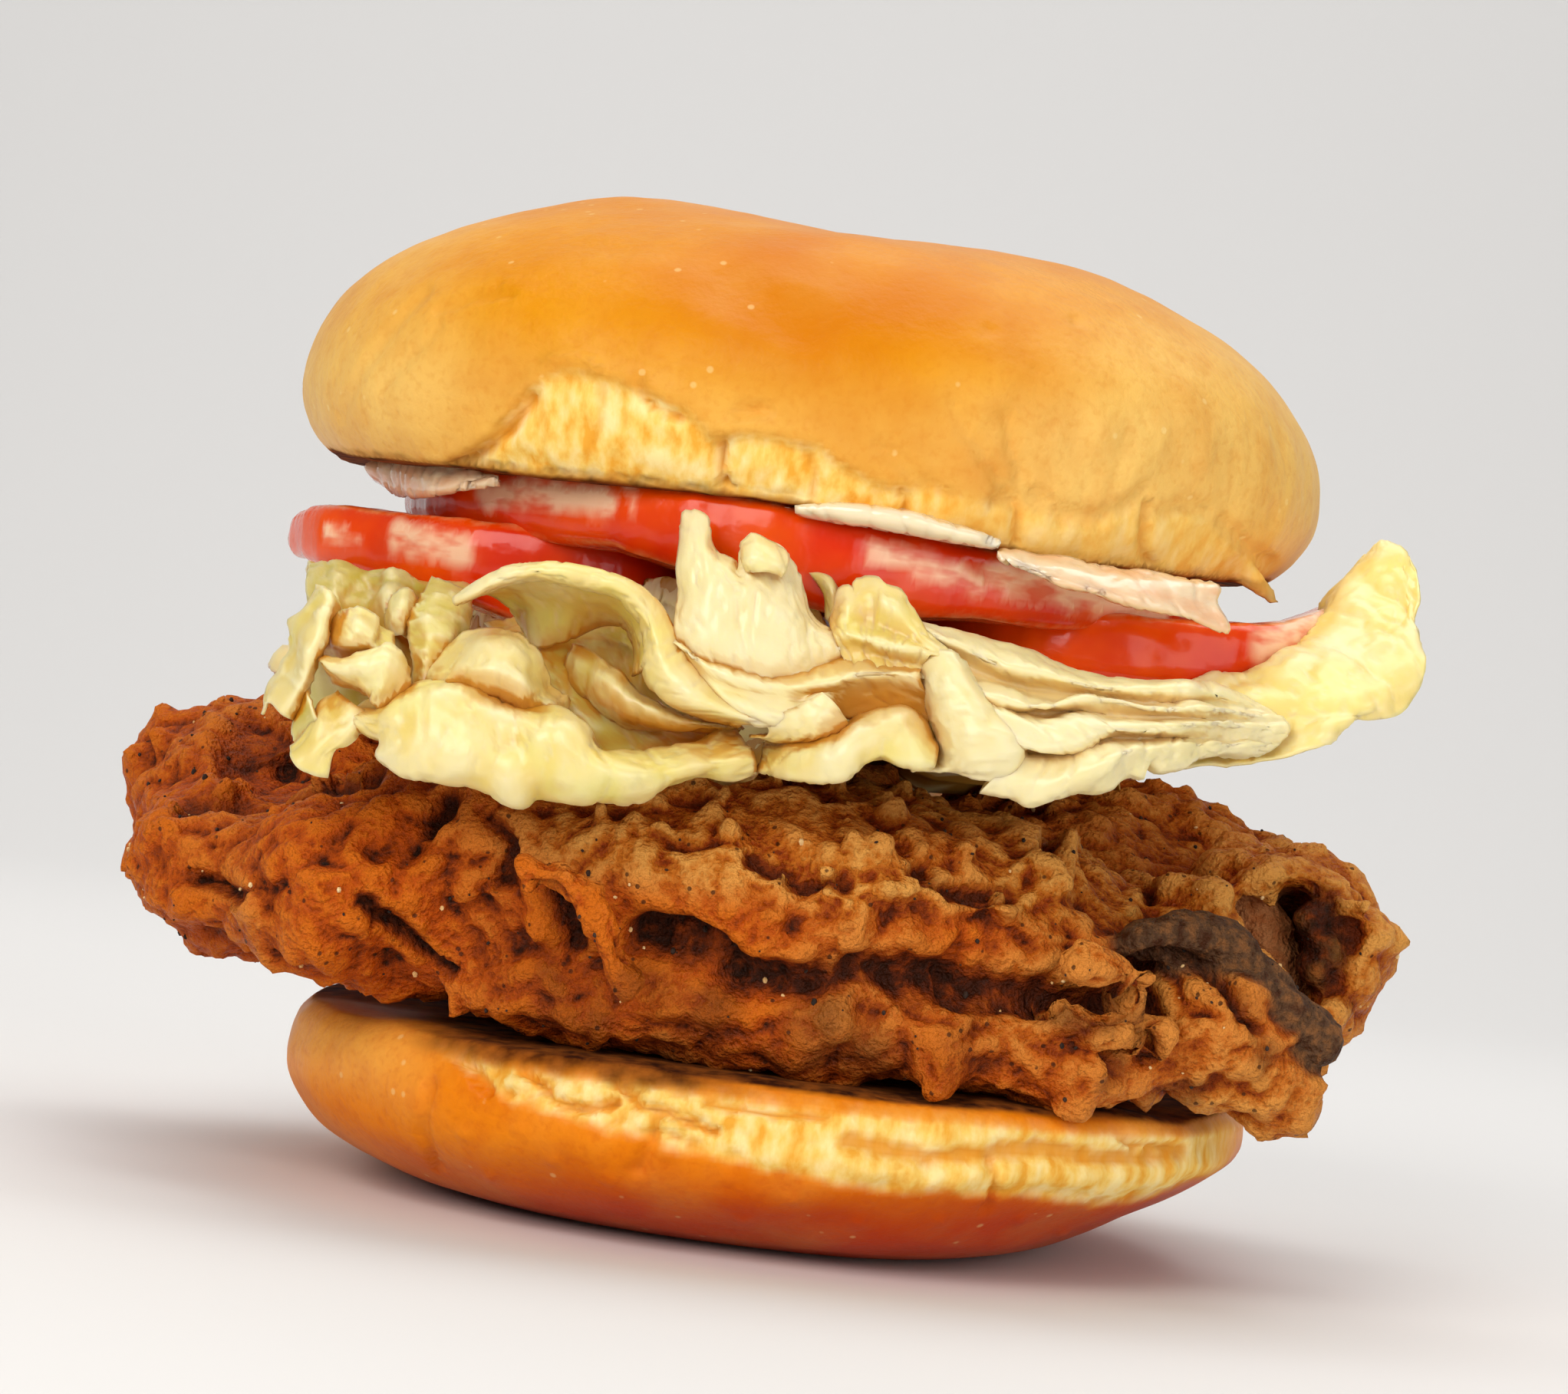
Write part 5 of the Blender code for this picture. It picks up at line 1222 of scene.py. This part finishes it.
def tomato_finish():
    """Wet tomato, by the marks painted_shade, flesh and sauce_and_highlight."""
    made, tree, shader = finish("tomato", SKIN_RED, 0.2, {
        "Subsurface Weight": 0.08, "Specular IOR Level": 0.25, "Coat Weight": 0.22, "Coat Roughness": 0.05})
    shader.inputs["Subsurface Radius"].default_value = (1.0, 0.20, 0.06)
    shader.inputs["Subsurface Scale"].default_value = 2.2 * MM
    wide = object_noise(tree, 10.0, 3.0)
    colour = ramp(tree, wide, ((0.34, SKIN_RED), (0.64, SKIN_ORANGE)))
    # Painted shade: darker red where the slice lies in shade.
    colour = mixed(tree, marked(tree, "painted_shade"), colour, SKIN_PAINTED_SHADE)
    flecks = object_noise(tree, 1.6, 5.0)
    flesh = ramp(tree, flecks, ((0.40, SKIN_ORANGE), (0.66, FLESH_PINK)))
    colour = mixed(tree, marked(tree, "flesh"), colour, flesh)
    # The sauce film, in streaks, is also a painted highlight.
    streaks = object_noise(tree, 2.2, 2.5, (0.5, 0.5, 1.3))
    film_and_highlight = times(tree, marked(tree, "sauce_and_highlight"), ramp(tree, streaks, ((0.36, 0.25), (0.54, 0.90))))
    colour = mixed(tree, film_and_highlight, colour, FILM_AND_HIGHLIGHT_CREAM)
    tree.links.new(colour, shader.inputs["Base Color"])
    bumped(tree, shader, plus(tree, times(tree, film_and_highlight, 0.6), object_noise(tree, 3.5, 3.0)), 0.35, 0.5)
    return made


tomato = tomato_finish()
for node, sauce_and_highlights in SAUCE_AND_HIGHLIGHTS.items():
    piece = fine_copy(node, node + "_flesh", TOMATO_VOXEL)
    points, normals = points_of(piece.data)
    x, y, z = points.T
    near = eased(0.0, -22.0, y)
    points[:, 2] += near * (along(LIFT[node], x) * eased(-0.3, 0.6, normals[:, 2])
                            - along(SAG[node], x) * eased(0.3, -0.6, normals[:, 2]))
    relief = 0.45 * noise_at(points, 9.0, 1.0) + 0.14 * noise_at(points, 2.6, 4.0)
    set_points(piece.data, points + normals * relief[:, None])
    sauce_and_highlight = np.zeros(len(points))
    for line, width in sauce_and_highlights:
        sauce_and_highlight = np.maximum(sauce_and_highlight, eased(width, 0.3 * width, from_line(points, line)
                                        + 0.8 * noise_at(points, 1.8, 6.0)))
    mark(piece.data, "sauce_and_highlight", sauce_and_highlight * eased(-6.0, -14.0, y))
    mark(piece.data, "flesh", 0.85 * eased(0.55, 0.85, np.abs(normals[:, 2])))
    # Painted shade: the faces turned down, and the right part of the lower left slice under the upper slice,
    # are darker.
    underside_shade = 0.25 * eased(0.1, -0.5, normals[:, 2])
    mark(piece.data, "painted_shade", eased(-36.0, -18.0, x) * 0.8 if node == "tomato_lower_left" else underside_shade)
    dressed(piece, tomato, "tomato", node)

# Mayonnaise.
# A thick smear spread under the crown. At the front it is pressed out in three places: a pinkish
# smear at the left, a white blob in the middle and a long glassy drip down the right.
MAYO_VOXEL = 0.6 * MM
MAYO_CREAM = (0.90, 0.74, 0.50)
MAYO_THIN = (0.80, 0.42, 0.22)
MAYO_DRAWN_IN = 4.0
# Each sheet: how far it ruffles, its thickness, how thin and pink it looks, and its lines, as for a leaf.
MAYO_SHEETS = (
    (0.12, 1.0, 0.9, (
        ((-50, 74.4, -12), (-48, 74.9, -16), (-45, 74.8, -23), (-41, 74.8, -30), (-36.5, 74.5, -36)),
        ((-50.4, 73.8, -13), (-47.8, 73.6, -18), (-45, 73.4, -25), (-41, 73.7, -32), (-36.4, 74.2, -36.6)),
        ((-49.6, 73.2, -13), (-47.4, 72.5, -18), (-44.8, 72.2, -25), (-41.4, 73.0, -32), (-37, 73.9, -36.4)),
        ((-48.6, 72.8, -12), (-46.8, 71.8, -17), (-44.6, 71.6, -24), (-42, 72.4, -30), (-38, 73.6, -35)),
    )),
    (0.06, 0.8, 0.0, (
        ((-4, 75.2, -46), (1, 76, -46.5), (5, 76.2, -46.5), (9, 76, -46.5), (13, 75.2, -46),
         (17, 74.4, -45.5)),
        ((-4.4, 75, -47.2), (1, 75.5, -48.6), (5, 75.5, -49), (9, 75.3, -49), (13, 74.7, -48.4),
         (17.6, 74.1, -46.6)),
        ((-4, 74.8, -46.6), (1, 74.9, -48.2), (5, 74.8, -48.6), (9, 74.6, -48.6), (13, 74.2, -48),
         (17.2, 73.9, -46.2)),
        ((-3, 74.7, -45), (1, 74.5, -45.5), (5, 74.3, -45.6), (9, 74.1, -45.6), (13, 73.9, -45.4),
         (16.8, 73.7, -45)),
    )),
    (0.16, 0.55, 0.8, (
        ((18, 73.6, -45), (24, 73.2, -44.5), (30, 73, -43.5), (36, 72.8, -41.5), (40.5, 72.7, -39)),
        ((17.6, 72.8, -46.7), (24, 72, -46.9), (30, 71.6, -45.9), (36, 71.8, -43.8), (41.6, 72, -40.4)),
        ((18.5, 72.2, -47), (25, 70.9, -47.5), (31, 70.4, -46.7), (37, 70.3, -44.4), (41.4, 70.6, -41)),
        ((20, 71.8, -46.6), (27, 70.3, -47.2), (33, 69.6, -46.4), (38, 69, -44.4), (43, 68, -41.6)),
        ((21, 71.6, -45.8), (28, 70, -46.2), (34, 69.2, -45.4), (38.4, 68.7, -43.8), (42.9, 67.8, -41.4)),
    )),
)


def mayo_finish():
    """Glossy sauce, thinner and pinker by the mark tint."""
    made, tree, shader = finish("mayonnaise", MAYO_CREAM, 0.22, {"Subsurface Weight": 0.4, "Coat Weight": 0.7,
                                                                 "Coat Roughness": 0.06})
    shader.inputs["Subsurface Radius"].default_value = (1.0, 0.75, 0.45)
    shader.inputs["Subsurface Scale"].default_value = 1.8 * MM
    stain = object_noise(tree, 3.2, 4.0, (0.5, 0.5, 1.4))
    thin = times(tree, marked(tree, "tint"), ramp(tree, stain, ((0.38, 1.0), (0.62, 0.25))))
    colour = mixed(tree, thin, MAYO_CREAM, MAYO_THIN)
    tree.links.new(colour, shader.inputs["Base Color"])
    bumped(tree, shader, stain, 0.3, 0.5)
    return made


mayo = fine_copy("mayonnaise", "mayonnaise_smear", MAYO_VOXEL)
points, normals = points_of(mayo.data)
reach = np.hypot(points[:, 0], points[:, 1])
points[:, :2] *= (1.0 - MAYO_DRAWN_IN * eased(30.0, 45.0, reach) / np.maximum(reach, 1.0))[:, None]
set_points(mayo.data, points + normals * (0.2 * noise_at(points, 5.0, 2.0))[:, None])
shell = bmesh.new()
shell.from_mesh(mayo.data)
shell.verts.layers.float.new("rib")
shell.verts.layers.float.new("tint")
for index, (ruffle, thickness, thin, lines) in enumerate(MAYO_SHEETS):
    add_sheet(shell, lines, ruffle, 3.0 + index, thickness, thin)
shell.to_mesh(mayo.data)
shell.free()
mayo.data.shade_smooth()
dressed(mayo, mayo_finish(), "mayonnaise", "mayonnaise")

# Upper bun half.
# The domed half of the same bun: glossy and deep gold on top, paler towards its sides, partly as a
# painted sheen, and torn along the low front, where the pale stringy crumb shows down to the toasted cut
# edge.
CROWN_VOXEL = 0.65 * MM
# The torn band's upper edge, as (across, up) seen from the front.
CROWN_TEAR = ((-54, 72), (-42.3, 72.9), (-39.7, 73.8), (-37.4, 75.1), (-34.7, 76.9), (-33, 79.1),
              (-31.2, 81.4), (-29.8, 82.7), (-28, 83.6), (-23.6, 83.1), (-20, 82.3), (-16.4, 81.4),
              (-14.2, 79.8), (-12.4, 78.2), (-11.1, 79.4), (-7.5, 79.4), (-3, 79.1), (-0.3, 77.8),
              (4.1, 76.4), (8.6, 77.2), (13.1, 76.9), (17.5, 76.9), (23.8, 76.4), (27.4, 77.6), (30, 77.3),
              (35.4, 77.9), (40.8, 75.6))
# Each crease: its line as seen from the front, its width and its depth, below 0 for a raised edge.
CROWN_CREASES = (
    (((-38.8, 73.8), (-35.2, 76.1), (-32.9, 78.2), (-31.3, 80.6)), 1.2, 0.9),
    (((-12.3, 78.7), (-12.0, 76.4), (-11.1, 73.9)), 0.9, 1.3),
    (((-29.8, 84.5), (-28.0, 85.2), (-26.7, 85.3), (-24.5, 84.1)), 0.6, -0.7),
    (((-20.5, 83.6), (-20.0, 81.8), (-18.7, 80.7), (-16.4, 80.3)), 0.7, 0.7),
    (((-10.7, 81.5), (-8.4, 82.0)), 1.0, 0.9),
    (((-13.6, 93.6), (-9.6, 92.0), (-5.4, 90.6)), 4.2, 0.7),
    (((-50.8, 78.4), (-48.9, 82.1), (-46.1, 86.8), (-43.3, 90.6)), 1.1, 0.35),
    (((-46.4, 80.9), (-43.6, 84.1), (-41.3, 86.9)), 1.0, 0.35),
    (((-41.6, 88.6), (-38.0, 90.2), (-34.5, 90.6)), 0.9, 0.45),
    (((14.6, 77.2), (17.2, 77.0), (17.2, 73.6)), 0.8, 0.9),
    (((18.3, 77.7), (21.5, 76.8), (25.1, 76.9), (27.8, 78.2), (29.4, 79.7)), 0.9, 0.8),
    (((29.9, 78.2), (30.1, 75.5), (31.0, 73.6)), 0.8, 0.9),
    (((30.3, 77.7), (33.6, 78.5), (36.3, 78.8)), 0.8, 0.7),
    (((3.2, 80.0), (6.8, 77.8), (10.4, 76.9)), 0.9, 0.6),
    (((9.5, 85.1), (11.3, 81.9), (14.5, 78.8), (16.3, 77.3)), 1.0, 0.55),
    (((14.9, 84.6), (15.5, 81.5), (17.1, 78.3)), 0.9, 0.45),
    (((38.2, 77.9), (41.5, 76.1), (44.7, 75.1)), 1.0, 0.8),
    (((-4.0, 78.4), (-2.6, 76.4), (-3.0, 74.4)), 0.7, 0.6),
    (((-24.6, 82.0), (-24.2, 79.4), (-25.0, 76.4)), 0.7, 0.4),
    (((5.6, 76.4), (6.2, 74.8)), 0.6, 0.6),
)
# How far the front lip hangs lower, by place across.
CROWN_DROP = ((-55, 0.9), (-30, 0.9), (-15, 0.5), (4, 0.6), (14, 1.6), (20, 1.9), (30, 1.8), (38, 1.3),
              (54, 0.6))
# Small dents: across, up and size, as seen from the front.
CROWN_FLAWS = ((12.2, 92.6, 1.0), (20.8, 95.0, 0.8), (17.0, 89.4, 0.5), (-36.0, 91.5, 0.6))
CROWN_DROOP = ((41.4, -24.5, 74.6), (43.2, -24.5, 73.2), (44.4, -24.5, 72.2), (44.9, -24.5, 71.5))
CROWN_GOLD = (0.74, 0.30, 0.003)
CROWN_DEEP = (0.60, 0.17, 0.0002)
CROWN_PALE = (0.85, 0.53, 0.14)


def droop_lumps():
    """The tip of torn crumb that hangs at the right end of the cut edge."""
    for (place, sizes, turn), size in zip(beads(CROWN_DROOP, 1.4), np.linspace(1.6, 0.5, 12)):
        yield place, (size,) * 3, turn


crown = fine_copy("bun_crown", "crown_bread", CROWN_VOXEL, lumps=droop_lumps())
points, normals = points_of(crown.data)
x, y, z = points.T
front = front_of(points)
# The cut face is flat but tilted, so heights near it are measured from a plane fitted to it.
face = normals[:, 2] < -0.95
cut = np.linalg.lstsq(np.stack([x[face], y[face], np.ones(face.sum())], axis=1), z[face], rcond=None)[0]
rise = z - (x * cut[0] + y * cut[1] + cut[2])
points += (softened(crown.data, CRUST_ROUNDS, points) - points) * eased(0.8, 4.0, rise)[:, None]
edge = along(CROWN_TEAR, x) + 0.35 * noise_at(points, 3.0, 3.0) + 0.35 * noise_at(points, 1.2, 5.0)
outside = eased(-0.92, -0.7, normals[:, 2])
torn = front * eased(edge + 0.4, edge - 0.5, z) * outside
strings = noise_at(points, (1.3, 1.3, 4.5), 2.0) + 0.6 * noise_at(points, (2.4, 2.4, 1.6), 6.0)
rough = eased(14.0, 2.0, x)
relief = 0.35 * noise_at(points, 12.0, 1.0) + 0.10 * noise_at(points, 3.5, 8.0)
relief += torn * (0.30 * strings * (0.35 + 0.65 * rough) - 0.55 * (0.3 + 0.7 * rough))
relief += 0.30 * front * rough * eased(1.6, 0.2, np.abs(z - edge - 1.0)) * outside
rippled = front * outside * eased(-4.0, 10.0, x) * eased(91.0, 84.0, z)
relief += rippled * (0.40 * noise_at(points, (4.5, 4.5, 7.0), 24.0)
                     + 0.18 * noise_at(points, (1.8, 1.8, 3.0), 25.0))
crease_shade = np.zeros(len(points))
for line, width, depth in CROWN_CREASES:
    away = from_line(points, line) + 0.25 * noise_at(points, 1.5, 9.0)
    near = eased(width, 0.1 * width, away) * front * outside
    relief -= depth * near
    crease_shade = np.maximum(crease_shade, near * (min(1.0, depth) if width < 2.0 else 0.0))
for across, up, size in CROWN_FLAWS:
    relief -= 0.3 * eased(size, 0.2 * size, np.hypot(x - across, z - up)) * front
points += normals * relief[:, None]
rim = eased(34.0, 42.0, np.hypot(x + 2.8, y)) * eased(7.0, 0.5, rise) * front
points[:, 2] -= along(CROWN_DROP, x) * rim
set_points(crown.data, points)
mark(crown.data, "torn", torn * (0.50 + 0.50 * rough))
# Painted shade: the creases and hollows get the crease_shade mark.
mark(crown.data, "crease_shade", np.clip(0.50 * crease_shade + 1.3 * hollows(crown.data, 8), 0.0, 1.0))
# The crust just above the cut edge is darkened towards both ends; the cut face itself is toasted.
darkening = eased(0.9, 0.3, rise + 0.4 * noise_at(points, 2.5, 15.0)) * front * outside
dark_cut_edge = 0.8 * darkening * np.maximum(eased(-8.0, -16.0, x), 0.6 * eased(18.0, 30.0, x))
mark(crown.data, "toast", np.maximum(eased(-0.8, -0.95, normals[:, 2]), dark_cut_edge))
aside = (x + 7.0) / 24.0
above = (z - 93.5 + 1.5 * noise_at(points, 9.0, 33.0)) / 8.5
warm = np.exp(-aside ** 2 - above ** 2) * eased(10.0, -10.0, y)
baked = (warm + 0.24 * eased(98.0, 104.0, z) + 0.30 * noise_at(points, 11.0, 18.0)
         + 0.10 * noise_at(points, 4.0, 19.0))
mark(crown.data, "bake", np.clip(baked, 0.0, 0.9))
# Paler on the sides and low down; on the flanks this paleness is partly a painted sheen.
pale_sides_and_sheen = (0.85 * eased(2.0, 34.0, x) * eased(104.0, 92.0, z) + 0.5 * eased(-32.0, -48.0, x)
              + 0.45 * eased(90.0, 80.0, z))
mark(crown.data, "pale", np.clip(pale_sides_and_sheen, 0.0, 0.95))
dressed(crown, bread_finish("crown_bread", CROWN_DEEP, CROWN_GOLD, CROWN_PALE), "baked_crust", "bun_crown")
